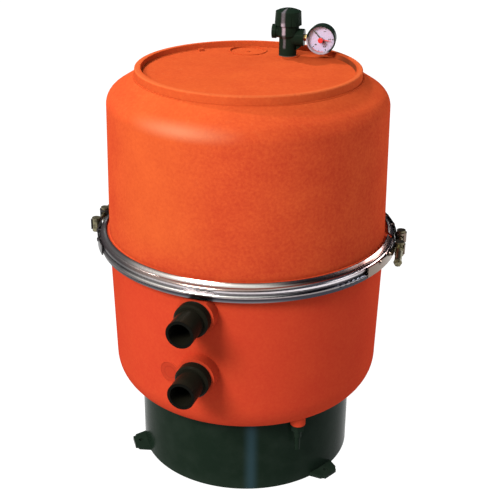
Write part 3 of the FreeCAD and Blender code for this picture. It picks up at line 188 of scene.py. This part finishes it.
# %% [markdown]
# The wear on this tank, and the light and shade painted onto it, follow its shape: they run
# down to a height, round the tank or out from a middle. An image could hold them, but each solid
# would have to be unwrapped first. So every stain and every painted shade or highlight is worked
# out from where a point is. The tank stands on the origin with its ports to the front, so a
# point's height, its angle and its distance from the axis are short sums.


# %% Where a point is on the tank
def axes(finish):
    """How far a point is to the right, to the back and up, in metres."""
    made = finish.node("ShaderNodeSeparateXYZ", None, {0: place(finish)})
    outputs = made.socket.node.outputs
    return [Wire(finish, outputs[name]) for name in "XYZ"]


def offsets_from(finish, centre):
    return [value - middle for value, middle in zip(axes(finish), centre)]


def length(offsets):
    total = offsets[0].power(2)
    for offset in offsets[1:]:
        total = total + offset.power(2)
    return total.power(0.5)


def tank_angle(finish):
    """The angle round the tank's axis, zero at the ports and growing to the right."""
    across, back, height = axes(finish)
    return across.math("ARCTAN2", across, 0 - back)


def tank_radius(finish):
    return length(axes(finish)[:2])


# %% [markdown]
# ## The place of the mould's mark
# Left of the lower port, the bowl has a faint round mark where its mould was closed with a
# plug. The orange is darker there, and a low bead runs round it. The wall of the bowl is a
# cone, so `on_wall` lays a point on that cone, or a little proud of it. The finish and the bead
# both take the mark's place from it, so they can't drift apart.

# %% Places on the bowl's wall
MARK_AZIMUTH = math.radians(-13.7)
MARK_HEIGHT = 252 * MM
MARK_RADIUS = 20 * MM
WALL_FOOT = (245 * MM, 199 * MM)
WALL_TOP = (250 * MM, 411 * MM)


def on_wall(across, height, proud):
    share = (height - WALL_FOOT[1]) / (WALL_TOP[1] - WALL_FOOT[1])
    radius = WALL_FOOT[0] + share * (WALL_TOP[0] - WALL_FOOT[0]) + proud
    azimuth = MARK_AZIMUTH + across / radius
    return Vector((radius * math.sin(azimuth), -radius * math.cos(azimuth), height))


MARK_CENTRE = on_wall(0, MARK_HEIGHT, 0)
print("mould mark at", [round(value, 4) for value in MARK_CENTRE])

# %% [markdown]
# ## The two orange shells
# The shells are moulded in a coloured plastic. Close up the skin is faintly mottled, because
# the pigment doesn't spread quite evenly, and it has a fine orange-peel grain that breaks up
# the light. One flat colour would look like paint, so a deep and a bright orange are mixed by
# two noises of very different size.
#
# Wear comes in layers on top of that. The bowl is of a redder batch than the cover, and the
# plugged spot of its mould has stayed darker. Light and shade are painted in as well: the
# cover's left side and its top are painted lighter and warmer, as the light falls on them, and
# a painted highlight lies along the top edge of the rim and on the bend of the shoulder at the
# front left. Dust and scuffs sit on the shoulder and the deck. Painted shade, a dark brown,
# darkens the inner wall of the standing rim on the side away from the valve. All heights count
# from the cover's foot or from the top of its rim, which the frame gives. The shells are as
# dull as the photograph's, so the shader's own mirror layer is off.

# %% Oranges and where they change
ORANGE_DEEP = (0.33, 0.031, 0.013, 1)
ORANGE_BRIGHT = (0.43, 0.060, 0.019, 1)
ORANGE_REDDER = (0.39, 0.031, 0.016, 1)
# Painted light: the warmer orange of the cover's lit left side and lit top.
ORANGE_LIT = (0.42, 0.082, 0.018, 1)
# Pale orange for real scuffs, and for the painted highlight on the rim's top edge.
ORANGE_SCUFF_AND_HIGHLIGHT = (0.47, 0.125, 0.045, 1)
# Painted highlight colour for the bend of the shoulder.
ORANGE_SHOULDER_HIGHLIGHT = (0.47, 0.22, 0.14, 1)
ORANGE_MARK = (0.21, 0.019, 0.010, 1)
# Painted shade colour for the inner wall of the rim.
RIM_WALL_SHADE = (0.11, 0.027, 0.011, 1)
COVER_FOOT, RIM_TOP = [corner.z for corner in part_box("upper_shell")]
RIM_EDGE = RIM_TOP - 1.4 * MM
print("cover from", round(COVER_FOOT / MM, 1), "to", round(RIM_TOP / MM, 1), "mm high")


# %% Wear, painted light and painted shade on the orange shells
def redder_bowl(finish):
    return 1 - slope(axes(finish)[2], COVER_FOOT - 30 * MM, COVER_FOOT + 30 * MM)


def plug_stain(finish):
    """A dark disc with a darker ring in it."""
    reach = length(offsets_from(finish, MARK_CENTRE))
    disc = 1 - slope(reach, 18.9 * MM, 20.1 * MM)
    return 0.45 * disc + 0.3 * window(reach, 10.5 * MM, 12 * MM, 0.6 * MM)


# Painted light and dust: the upper cover and the deck are painted lighter, and scratches gather there too.
def dusty_top(finish):
    return slope(axes(finish)[2], RIM_EDGE - 75 * MM, RIM_EDGE)


# Painted light: the cover's left side and its top are painted lighter and warmer, as light falls on them.
def bleached_cover(finish):
    cover = slope(axes(finish)[2], COVER_FOOT + 10 * MM, COVER_FOOT + 70 * MM)
    left = window(tank_angle(finish), -0.70, 0.0, 0.30)
    return 0.38 * cover * left + 0.30 * dusty_top(finish) * (1 - left)


# Painted highlight along the top edge of the rim.
def worn_rim(finish):
    edge = window(tank_radius(finish), 188 * MM, 199 * MM, 0.5 * MM)
    return edge * slope(axes(finish)[2], RIM_EDGE - 0.8 * MM, RIM_EDGE)


# Painted highlight: a soft pale band on the bend of the shoulder at the front left.
def rubbed_bend(finish):
    bend = window(axes(finish)[2], RIM_EDGE - 56 * MM, RIM_EDGE - 43 * MM, 12 * MM)
    return bend * window(tank_angle(finish), -0.36, 0.10, 0.26)


# Painted shade: a dark brown band on the inner wall of the standing rim, on its stretch away from the valve.
def rim_corner(finish):
    corner = window(tank_radius(finish), 183.5 * MM, 186.2 * MM, 0.8 * MM)
    corner = corner * window(axes(finish)[2], RIM_TOP - 10.2 * MM, RIM_TOP - 1.2 * MM, 0.8 * MM)
    return corner * window(tank_angle(finish), 1.84, 2.42, 0.14)


# %% Orange moulded plastic
def orange_plastic():
    finish = Finish("orange_moulded_plastic", Specular_IOR_Level=0.0)
    clouds = grain(finish, 60, 2)
    mottle = grain(finish, 5, 4, 0.65)
    peel = grain(finish, 1.6, 2)
    tone = ramp(0.35 * clouds + 0.65 * mottle, (0.32, 0.0), (0.68, 1.0))
    scratches = ramp(grain(finish, 9, 6, 0.75), (0.56, 0.0), (0.74, 1.0))
    colour = layered(
        ORANGE_DEEP,
        (tone, ORANGE_BRIGHT),
        (0.6 * redder_bowl(finish), ORANGE_REDDER),
        (plug_stain(finish), ORANGE_MARK),
        (bleached_cover(finish), ORANGE_LIT),
        (0.25 * worn_rim(finish), ORANGE_SCUFF_AND_HIGHLIGHT),
        (0.55 * rubbed_bend(finish), ORANGE_SHOULDER_HIGHLIGHT),
        (scratches * (0.10 + 0.25 * dusty_top(finish)), ORANGE_SCUFF_AND_HIGHLIGHT),
        (0.9 * rim_corner(finish), RIM_WALL_SHADE),
    )
    finish.surface(Base_Color=colour, Roughness=0.38 + 0.14 * mottle + 0.08 * clouds)
    relief(finish, 0.5 * mottle + 0.5 * peel, 0.35, 0.35)
    return finish


finishes = {"orange_shell": orange_plastic()}
print("orange shell finish:", len(finishes["orange_shell"].tree.nodes), "nodes")

# %% [markdown]
# ## Black fittings
# The skirt, the port fittings, the drain and the bleed valve are a near-black plastic with a
# slight green cast, dull with dust in patches and near the floor. The dust is a large noise that
# lifts both the colour and the roughness a little. The port fittings are of a browner batch, and
# their cut ends are darker still.
#
# Highlights are painted in too: a pale streak down the front of the valve, a pale rim at the
# bottom and the left of the gauge, and a thin blue streak down the skirt. Lights could make them,
# but the lights behind them aren't known, so they are painted where they are seen. The valve's
# painted highlight is read at the angle round the valve's own axis, and the pale rim at the
# distance from the gauge's middle. Both places come from the frame's joints: the bleed knob turns
# about the one, and the needle about the other.

# %% Blacks and where they change
BLACK_CLEAN = (0.0058, 0.0118, 0.0078, 1)
BLACK_DUSTY = (0.017, 0.025, 0.020, 1)
BLACK_PORTS = (0.008, 0.0075, 0.0055, 1)
BLACK_ENDS = (0.0035, 0.0035, 0.003, 1)
# Painted highlight colour for the valve's front and the gauge's rim.
BLACK_HIGHLIGHT = (0.52, 0.43, 0.56, 1)
# Painted highlight colour: a thin blue streak on the skirt.
BLACK_SKIRT_HIGHLIGHT = (0.019, 0.040, 0.053, 1)
VALVE_AXIS = joints["bleed_turn"]["pos_m"]
VALVE_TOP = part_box("bleed_cap")[1].z
GAUGE_CENTRE = Vector(joints["needle_sweep"]["pos_m"])
WALL_FRONT = -WALL_TOP[0]
SPIGOT_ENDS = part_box("inlet_adaptor")[0].y
print("spigots end", round(-SPIGOT_ENDS / MM, 1), "mm in front of the tank's axis")


# %% Painted highlights on the black fittings
# Painted highlight: a pale streak down the front of the valve.
def valve_streak(finish):
    across, back, height = axes(finish)
    angle = across.math("ARCTAN2", across - VALVE_AXIS[0], VALVE_AXIS[1] - back)
    depth = VALVE_TOP - height
    neck = window(depth, 23.6 * MM, 45.6 * MM, 2 * MM)
    streak = window(angle, -0.27, 0.02, 0.09) * (1 - slope(depth, 66.6 * MM, 72.6 * MM))
    return streak * (0.22 + 0.55 * neck) * (0.20 + grain(finish, 4, 3))


# Painted highlight: a pale rim at the bottom and the left of the gauge.
def gauge_rim(finish):
    offsets = offsets_from(finish, GAUGE_CENTRE)
    near = 1 - slope(length(offsets), 32 * MM, 34 * MM)
    low_left = 0 - offsets[2] - 0.6 * offsets[0]
    return near * slope(low_left, 8 * MM, 16 * MM)


# Painted highlight: a thin blue streak down the skirt.
def skirt_streak(finish):
    skirt = 1 - slope(axes(finish)[2], 120 * MM, 180 * MM)
    return skirt * window(tank_angle(finish), 0.345, 0.405, 0.060)


# %% Black moulded plastic
def black_plastic():
    finish = Finish("black_moulded_plastic", Specular_IOR_Level=0.015)
    across, back, height = axes(finish)
    dust = ramp(grain(finish, 38, 5, 0.6), (0.42, 0.0), (0.72, 1.0))
    worn = dust * 0.3 + (1 - slope(height, 0, 30 * MM)) * 0.2
    peel = grain(finish, 1.2, 2)
    colour = layered(
        BLACK_CLEAN,
        (worn, BLACK_DUSTY),
        (1 - slope(back, WALL_FRONT, WALL_FRONT + 10 * MM), BLACK_PORTS),
        (1 - slope(back, SPIGOT_ENDS + 0.2 * MM, SPIGOT_ENDS + 2.2 * MM), BLACK_ENDS),
        (skirt_streak(finish), BLACK_SKIRT_HIGHLIGHT),
        (valve_streak(finish) + 0.6 * gauge_rim(finish), BLACK_HIGHLIGHT),
    )
    finish.surface(Base_Color=colour, Roughness=0.17 + 0.2 * worn + 0.05 * peel)
    relief(finish, peel, 0.2, 0.3)
    return finish


finishes["black_plastic"] = black_plastic()
print("black plastic finish:", len(finishes["black_plastic"].tree.nodes), "nodes")

# %% [markdown]
# ## The clamp ring's steel
# The band is rolled from stainless sheet, and the rollers leave hair lines that run round the
# tank. A noise in plain space would give round spots, so the pattern is read at the angle round
# the tank, the radius and the height instead. The angle is scaled down, which draws each speck
# out into a long line.
#
# Painted shade lies in the grooves between the flare, the bulge and the bead, and all over the
# underside, and it paints the steel's dark bands of reflection; over the upper part of the band
# it is brown, a painted reflection of the orange shell. How dark it lies is a ramp over the
# height: each list below pairs millimetres over the band's foot with an amount. It lies
# differently on the right half, so that has a list of its own, and the two blend over a short
# stretch of the angle. The ring's left end is painted dark and dull, a painted dark reflection,
# and its right end is brown with dirt from the closure. The straps are of a warmer, brownish
# sheet, and they are what stands further out than the band's bulge.

# %% Steels and where the painted shade and dirt lie
STEEL_BRIGHT = (0.80, 0.74, 0.78, 1)
STEEL_WEATHERED = (0.36, 0.30, 0.27, 1)
# Painted shade colour for the grooves and the underside, also used for dirt at the right end.
STEEL_SHADE_AND_DIRT = (0.035, 0.036, 0.048, 1)
# Brown: a painted reflection of the orange shell high on the band, and dirt at its right end.
STEEL_BROWN_DIRT_AND_REFLECTION = (0.17, 0.085, 0.07, 1)
STEEL_STRAP = (0.20, 0.15, 0.12, 1)
# Painted dark reflection at the ring's left end.
STEEL_LEFT_END_SHADE = (0.008, 0.008, 0.012, 1)
BAND_FRONT, BAND_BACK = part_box("clamp_half_front")
BAND_FOOT, BAND_TOP = BAND_FRONT.z, BAND_BACK.z
BULGE_REACH = -BAND_FRONT.y
HAIR_LINE_STRETCH = 12
# Painted shade: how dark the band is over its height, in front and on the right.
FRONT_SHADE = (
    (0.0, 0.75), (4.2, 0.78), (6.7, 0.94), (8.2, 0.99), (12.7, 0.98), (13.5, 0.05),
    (15.9, 0.00), (16.9, 0.70), (19.5, 0.55), (20.7, 0.25), (23.2, 0.30), (25.2, 0.84),
    (28.7, 0.78), (29.9, 0.25), (32.2, 0.12), (33.5, 0.60), (34.9, 0.99),
)
RIGHT_SHADE = (
    (0.0, 0.99), (17.2, 0.99), (19.2, 0.35), (20.7, 0.05), (27.9, 0.05),
    (28.9, 0.92), (31.2, 0.96), (32.3, 0.92), (33.5, 0.70), (34.9, 0.57),
)
print("band", round((BAND_TOP - BAND_FOOT) / MM, 1), "mm high")


# %% Hair lines and grooves
def round_the_tank(finish):
    angle = tank_angle(finish) / HAIR_LINE_STRETCH
    inputs = {0: angle, 1: tank_radius(finish), 2: axes(finish)[2]}
    return finish.node("ShaderNodeCombineXYZ", None, inputs)


# Painted shade and dark reflections in the grooves and on the underside.
def groove_grime(finish):
    span = BAND_TOP - BAND_FOOT
    level = (axes(finish)[2] - BAND_FOOT) / span
    front, right = [
        ramp(level, *[(min(rise * MM / span, 1), amount) for rise, amount in stops])
        for stops in (FRONT_SHADE, RIGHT_SHADE)
    ]
    turned = slope(tank_angle(finish), 0.36, 0.72)
    return front * (1 - turned) + right * turned


# %% Rolled stainless steel
def rolled_steel():
    finish = Finish("rolled_stainless_steel", Specular_IOR_Level=0.3)
    rolled = round_the_tank(finish)
    lines = grain(finish, 0.7, 4, 0.6, rolled)
    stain = ramp(grain(finish, 1.6, 3, 0.6, rolled), (0.45, 0.0), (0.75, 1.0))
    on_strap = slope(tank_radius(finish), BULGE_REACH - 0.4 * MM, BULGE_REACH + 0.2 * MM)
    # Painted shade: the ring's left end is painted dark and dull, as a painted dark reflection.
    left_end_shade = 1 - slope(tank_angle(finish), -0.62, -0.02)
    right_end = slope(tank_angle(finish), 0.95, 1.20) * (1 - on_strap)
    # Painted shade in the grooves and on the underside, with dirt at the right end.
    shade_and_dirt_amount = 1 - (1 - groove_grime(finish) * (1 - on_strap)) * (1 - 0.75 * right_end)
    upper = slope(axes(finish)[2], BAND_FOOT + 20.7 * MM, BAND_FOOT + 26.7 * MM)
    shade_and_dirt_colour = blend(upper, STEEL_SHADE_AND_DIRT, STEEL_BROWN_DIRT_AND_REFLECTION)
    colour = layered(
        STEEL_BRIGHT,
        (0.22 * stain + 0.12 * lines, STEEL_WEATHERED),
        (on_strap, STEEL_STRAP),
        (shade_and_dirt_amount, shade_and_dirt_colour),
        (0.95 * left_end_shade, STEEL_LEFT_END_SHADE),
    )
    gloss = 0.12 + 0.10 * lines + 0.10 * stain + 0.12 * left_end_shade
    finish.surface(Base_Color=colour, Metallic=1 - 0.85 * left_end_shade, Roughness=gloss)
    return finish


finishes["stainless"] = rolled_steel()
print("steel band finish:", len(finishes["stainless"].tree.nodes), "nodes")

# %% [markdown]
# ## Bolts, gauge stem, rubber and inner pipes
# The closure's bolts, barrels and nuts have a yellow zinc coat that has gone olive in places.
# The gauge screws in with a brass stem. Rubber is dull and almost black, and the pipes inside
# are a pale plastic. Each could have a network of its own, but they differ only in a clean
# colour, an aged one, the size of the aged patches in millimetres and the gloss. So one helper
# makes them all.


# %% Small metal and rubber finishes
def aged(name, clean, old, speckle, gloss, metallic):
    finish = Finish(name, Metallic=metallic)
    patches = ramp(grain(finish, speckle, 5, 0.6), (0.38, 0.0), (0.66, 1.0))
    fine = grain(finish, 0.8, 3)
    colour = blend(patches, clean, old)
    finish.surface(Base_Color=colour, Roughness=gloss + 0.2 * patches + 0.08 * fine)
    relief(finish, 0.5 * patches + 0.5 * fine, 0.08, 0.3)
    return finish


finishes["plated_steel"] = aged(
    "yellow_zinc_coat", (0.24, 0.215, 0.13, 1), (0.08, 0.07, 0.05, 1), 6, 0.24, 1.0
)
finishes["brass"] = aged(
    "turned_brass", (0.78, 0.55, 0.24, 1), (0.45, 0.30, 0.13, 1), 4, 0.2, 1.0
)
finishes["rubber"] = aged(
    "black_rubber", (0.018, 0.018, 0.018, 1), (0.045, 0.043, 0.04, 1), 5, 0.6, 0.0
)
finishes["pale_plastic"] = aged(
    "pale_pipe_plastic", (0.70, 0.70, 0.66, 1), (0.50, 0.49, 0.43, 1), 30, 0.35, 0.0
)
print("small finishes: zinc, brass, rubber and pipe plastic")

# %% [markdown]
# ## The gauge
# The dial is a white enamelled disc with a lilac cast, the needle is black lacquer and the set
# pointer is red. The window is clear plastic. It could be a glass shader, but a small alpha lets
# the dial show through as well and can be baked, and the shader still gives its gloss. Faint
# scratches on it change the gloss only.


# %% Gauge finishes
def lacquer(name, colour, worn, gloss, shine=0.5):
    finish = Finish(name, Specular_IOR_Level=shine)
    specks = ramp(grain(finish, 1.5, 4, 0.6), (0.55, 0.0), (0.8, 1.0))
    finish.surface(Base_Color=blend(0.4 * specks, colour, worn), Roughness=gloss + 0.15 * specks)
    return finish


def clear_window():
    finish = Finish("clear_window", Alpha=0.04, Base_Color=(0.92, 0.94, 0.96, 1))
    scratches = ramp(grain(finish, 2, 6, 0.7), (0.5, 0.0), (0.7, 1.0))
    finish.surface(Roughness=0.05 + 0.12 * scratches)
    return finish


finishes["dial_white"] = lacquer(
    "dial_enamel", (0.46, 0.39, 0.62, 1), (0.40, 0.35, 0.56, 1), 0.4
)
finishes["needle_black"] = lacquer(
    "needle_lacquer", (0.004, 0.004, 0.004, 1), (0.02, 0.02, 0.02, 1), 0.35, 0.1
)
finishes["pointer_red"] = lacquer(
    "pointer_red_plastic", (0.62, 0.03, 0.03, 1), (0.7, 0.12, 0.1, 1), 0.3
)
finishes["clear_lens"] = clear_window()
print("finishes:", ", ".join(finishes))

# %% [markdown]
# ## Dress the CAD solids
# The record says which finish every solid takes, so one loop dresses them all. Only the material
# changes: a solid from CAD keeps its shape and its place.


# %% Give each solid its finish
def dress(piece, slot):
    material = finishes[slot].material
    if piece.material_slots:
        for material_slot in piece.material_slots:
            material_slot.material = material
    else:
        piece.data.materials.append(material)


for part in frame["record"]["subparts"]:
    dress(frame["nodes"][part["node"]], part["material_slot"])

# %% [markdown]
# ## Helpers for new pieces
# The rest are thin pieces that CAD leaves out: the dial's print, a mark moulded in the shell.
# Each is a mesh made from points and faces, given a finish, and made to ride on the tank's
# body, which carries them all.


# %% Make a piece from points and faces
def mesh_of(name, points, faces):
    mesh = bpy.data.meshes.new(name)
    mesh.from_pydata([tuple(point) for point in points], [], faces)
    mesh.validate()
    mesh.update()
    return mesh


def add_to_scene(name, data):
    made = bpy.data.objects.new(name, data)
    bpy.context.scene.collection.objects.link(made)
    return made


def new_piece(name, mesh, slot):
    piece = add_to_scene(name, mesh)
    dress(piece, slot)
    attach(piece, "tank")


# %% [markdown]
# ## The round mark in the bowl
# A bump in the finish could hint at the mark, but it would vanish where the wall is seen from
# the side. So it is a real bead, a third of a millimetre proud. A small section is carried
# round the circle and joined up ring by ring, and every point of it is laid on the wall.


# %% Mould mark
MARK_SECTION = ((-1.3, -0.3), (-0.7, 0.35), (0.7, 0.35), (1.3, -0.3))
MARK_STEPS = 72


def mark_ring(turn):
    ring = []
    for outward, proud in MARK_SECTION:
        reach = MARK_RADIUS + outward * MM
        across, up = reach * math.cos(turn), reach * math.sin(turn)
        ring.append(on_wall(across, MARK_HEIGHT + up, proud * MM))
    return ring


def swept_loop(rings):
    """Faces between closed rings of points, the last joined to the first."""
    size, count = len(rings[0]), len(rings)
    faces = []
    for i in range(count):
        for j in range(size):
            here, there = i * size, (i + 1) % count * size
            after = (j + 1) % size
            faces.append((here + j, there + j, there + after, here + after))
    return faces


mark_rings = [mark_ring(math.tau * i / MARK_STEPS) for i in range(MARK_STEPS)]
mark_points = [point for ring in mark_rings for point in ring]
mark_mesh = mesh_of("mould_mark", mark_points, swept_loop(mark_rings))
mark_mesh.shade_smooth()
new_piece("mould_mark", mark_mesh, "orange_shell")
print("mould mark", round(2 * MARK_RADIUS / MM), "mm across")

# %% [markdown]
# ## The dial's print
# The gauge reads from 0 to 4. Its scale sweeps 270 degrees, and the whole dial sits a quarter
# turn to the right, so that zero is at half past ten and 4 at half past seven. A picture of a
# dial would blur close up, so each tick is a thin bar laid on the dial. The face has its own
# frame of directions: right, up, and out. The needle's axis points into the dial, so out is the
# other way along it, and the dial's own points say how far out its face lies.

# %% The dial's frame
FACE_OUT = -Vector(joints["needle_sweep"]["axis"])
FACE_UP = Vector((0, 0, 1))
FACE_RIGHT = FACE_UP.cross(FACE_OUT)
dial_points = [vertex.co - GAUGE_CENTRE for vertex in frame["nodes"]["gauge_dial"].data.vertices]
DIAL_FACE = max(point.dot(FACE_OUT) for point in dial_points)
PRINT_HEIGHT = 0.1 * MM
ZERO_AT = -45
SWEEP_PER_BAR = 67.5
HIGHEST_VALUE = 4


def on_dial(right, up, out=0.0):
    return GAUGE_CENTRE + FACE_RIGHT * right + FACE_UP * up + FACE_OUT * (DIAL_FACE + out)


def clock(value):
    """The angle of a scale value, clockwise from the top."""
    return math.radians(ZERO_AT + SWEEP_PER_BAR * value)


print("dial face", round(DIAL_FACE / MM, 2), "mm in front of the gauge's middle")


# %% Bars laid on the dial
BAR_FACES = ((0, 1, 2, 3), (7, 6, 5, 4), (0, 4, 5, 1), (1, 5, 6, 2), (2, 6, 7, 3), (3, 7, 4, 0))


def bar_on_dial(angle, inner, outer, width):
    along = (math.sin(angle), math.cos(angle))
    aside = (along[1] * width / 2, -along[0] * width / 2)
    corners = []
    for out in (-PRINT_HEIGHT, PRINT_HEIGHT):
        for reach, side in ((inner, -1), (outer, -1), (outer, 1), (inner, 1)):
            right = along[0] * reach + aside[0] * side
            up = along[1] * reach + aside[1] * side
            corners.append(on_dial(right, up, out))
    return corners


def bars_piece(name, bars, slot):
    points, faces = [], []
    for bar in bars:
        start = len(points)
        points += bar_on_dial(*bar)
        faces += [tuple(start + corner for corner in face) for face in BAR_FACES]
    new_piece(name, mesh_of(name, points, faces), slot)


# %% Ticks and the red zone
TICKS_OUTER = 22.4 * MM
MAJOR_TICK = (18.6 * MM, TICKS_OUTER, 1.6 * MM)
MIDDLE_TICK = (20.0 * MM, TICKS_OUTER, 0.8 * MM)
MINOR_TICK = (20.9 * MM, TICKS_OUTER, 0.3 * MM)
RED_BAR = (22.6 * MM, 23.6 * MM, 0.6 * MM)
RED_FROM = 3.2
RED_STEPS = 40


def tick_size(tenths):
    if tenths % 10 == 0:
        return MAJOR_TICK
    if tenths % 5 == 0:
        return MIDDLE_TICK
    return MINOR_TICK


ticks = [(clock(tenths / 10), *tick_size(tenths)) for tenths in range(HIGHEST_VALUE * 10 + 1)]
bars_piece("dial_ticks", ticks, "needle_black")

red_step = (HIGHEST_VALUE - RED_FROM) / RED_STEPS
red_bars = [(clock(RED_FROM + red_step * i), *RED_BAR) for i in range(RED_STEPS + 1)]
bars_piece("dial_red_zone", red_bars, "pointer_red")
print(len(ticks), "ticks and a red zone from", RED_FROM, "to", HIGHEST_VALUE)

# %% [markdown]
# The numbers are flat letters from Blender's own font, turned into meshes so that they take a
# finish as any other piece does. The dial sits a quarter turn to the right, so each number's own
# up points right.

# %% Dial numbers
NUMBER_SIZE = 6.2 * MM
NUMBER_BOLD = 0.25 * MM
NUMBERS_AT = 14.6 * MM


def dial_number(value):
    letters = bpy.data.curves.new(f"number_{value}", "FONT")
    letters.body = str(value)
    letters.size = NUMBER_SIZE
    letters.extrude = PRINT_HEIGHT
    letters.offset = NUMBER_BOLD
    letters.align_x = "CENTER"
    letters.align_y = "CENTER"
    letters.resolution_u = 3
    writing = bpy.data.objects.new("writing", letters)
    mesh = bpy.data.meshes.new_from_object(writing)
    angle = clock(value)
    middle = on_dial(NUMBERS_AT * math.sin(angle), NUMBERS_AT * math.cos(angle))
    turn = Matrix((-FACE_UP, FACE_RIGHT, FACE_OUT)).transposed()
    mesh.transform(Matrix.Translation(middle) @ turn.to_4x4())
    bpy.data.objects.remove(writing)
    bpy.data.curves.remove(letters)
    new_piece(f"dial_number_{value}", mesh, "needle_black")


for value in range(HIGHEST_VALUE + 1):
    dial_number(value)
print("numbers 0 to", HIGHEST_VALUE)

# %% [markdown]
# ## The studio
# The picture has a pure white ground without a shadow. A white sky would give the ground, but
# then the steel ring would mirror white all round and look like paper. Photographers use a light
# table: a sheet of acrylic that is lit from below. So the floor gives its own even white light
# and scatters almost none of the light that falls on it. It also fills in the tank from below.

# %% Light table
TABLE_REACH = 14.0
TABLE_BRIGHT = (1.06, 1.06, 1.06, 1)
TABLE_HAZE = (1.02, 1.02, 1.02, 1)


def light_table():
    reach = TABLE_REACH
    corners = [(-reach, -reach, 0), (reach, -reach, 0), (reach, reach, 0), (-reach, reach, 0)]
    mesh = mesh_of("light_table", corners, [(0, 1, 2, 3)])
    finish = Finish("lit_acrylic", Emission_Strength=1.0, Specular_IOR_Level=0.1)
    haze = 0.3 * grain(finish, 400, 2)
    finish.surface(Base_Color=(0.04, 0.04, 0.04, 1), Roughness=0.6)
    finish.surface(Emission_Color=blend(haze, TABLE_BRIGHT, TABLE_HAZE))
    mesh.materials.append(finish.material)
    add_to_scene("light_table", mesh)


light_table()
print("light table", 2 * TABLE_REACH, "m across")

# %% [markdown]
# All lights are areas, because an area's soft edge suits a dull plastic. The key light is big
# and stands high at the front, a little to the left, and gives the orange its bright side. A
# small hard light high on the left, behind the tank, throws the valve's shadow over the deck. A
# weak light stands on the right like a white card, to be mirrored by the clamp ring, and an edge
# light behind it brightens the tank's edge.


# %% Lights
def soft_light(name, position, aim, width, height, power, tint=(1, 1, 1)):
    light = bpy.data.lights.new(name, "AREA")
    light.shape = "RECTANGLE"
    light.size, light.size_y = width, height
    light.energy = power
    light.color = tint
    lamp = add_to_scene(name, light)
    lamp.location = position
    lamp.rotation_mode = "QUATERNION"
    lamp.rotation_quaternion = (Vector(aim) - Vector(position)).to_track_quat("-Z", "Y")


TANK_MIDDLE = (0, 0, 0.45)
DECK_MIDDLE = (0, 0, 0.7)
RING_MIDDLE = (0, 0, 0.43)
soft_light("key_light", (-0.88, -2.52, 2.35), TANK_MIDDLE, 1.0, 1.0, 154, (1.0, 0.97, 0.83))
soft_light("back_light", (-1.45, 0.78, 2.7), DECK_MIDDLE, 0.14, 0.14, 60, (1.0, 1.0, 0.93))
soft_light("edge_light", (1.3, 1.0, 0.95), TANK_MIDDLE, 0.6, 0.6, 18)
soft_light("right_card", (1.55, 0.1, 0.9), RING_MIDDLE, 0.9, 0.5, 2.4)
print(len(bpy.data.lights), "lights")

# %% [markdown]
# The sky of the studio is one big soft window high on the left, and it is dim near the ground.
# Polished metal shows what stands round it, so the dim part gives the steel ring something dark
# to mirror. The window's edge is a smooth step on how far a direction lies from its middle.

# %% Sky
WINDOW_TOWARDS = Vector((-0.40, -0.42, 0.82)).normalized()
WINDOW_LIGHT = (0.97, 1.03, 0.92, 1)
BELT_LIGHT = (0.035, 0.04, 0.055, 1)
WINDOW_STRENGTH = 1.15


def studio_sky():
    world = bpy.data.worlds.new("studio")
    world.use_nodes = True
    sky = Network(world.node_tree)
    direction = sky.node("ShaderNodeTexCoord", output="Generated")
    product = {0: direction, 1: WINDOW_TOWARDS}
    towards = sky.node("ShaderNodeVectorMath", {"operation": "DOT_PRODUCT"}, product, "Value")
    light = blend(slope(towards, 0.45, 0.80), BELT_LIGHT, WINDOW_LIGHT)
    background = sky.tree.nodes["Background"]
    sky.feed(background.inputs["Color"], light)
    sky.feed(background.inputs["Strength"], WINDOW_STRENGTH)
    bpy.context.scene.world = world
    return sky


sky = studio_sky()
bpy.context.scene.view_settings.view_transform = "Standard"
print("sky:", len(sky.tree.nodes), "nodes")

# %% [markdown]
# ## The camera
# The camera stands 1.74 m from the tank's axis, 18 degrees to the right of the ports, and tips
# down by 24 degrees. It is rolled by 0.6 degrees, which leans the picture to the right. A
# constraint could aim it at the tank, but these angles were measured in the photograph. So its
# three directions are worked out from them and put straight into its matrix.

# %% Camera at the photograph's place
CAMERA_PLACE = Vector((0.5484, -1.6499, 1.1698))
CAMERA_TURN = math.radians(18.2)
CAMERA_TIP = math.radians(24.16)
CAMERA_ROLL = 0.0106
LENS_LENGTH = 74.1
SENSOR_WIDTH = 36


def camera_matrix():
    side, ahead = math.cos(CAMERA_TURN), math.sin(CAMERA_TURN)
    level, down = math.cos(CAMERA_TIP), math.sin(CAMERA_TIP)
    forward = Vector((-ahead * level, side * level, -down))
    right = Vector((side, ahead, 0))
    up = right.cross(forward)
    roll_right = right * math.cos(CAMERA_ROLL) + up * math.sin(CAMERA_ROLL)
    roll_up = up * math.cos(CAMERA_ROLL) - right * math.sin(CAMERA_ROLL)
    turn = Matrix((roll_right, roll_up, -forward)).transposed()
    return Matrix.Translation(CAMERA_PLACE) @ turn.to_4x4()


lens = bpy.data.cameras.new("camera")
lens.lens = LENS_LENGTH
lens.sensor_width = SENSOR_WIDTH
camera = add_to_scene("camera", lens)
camera.matrix_world = camera_matrix()
bpy.context.scene.camera = camera
print("camera at", tuple(round(value, 3) for value in camera.matrix_world.translation))
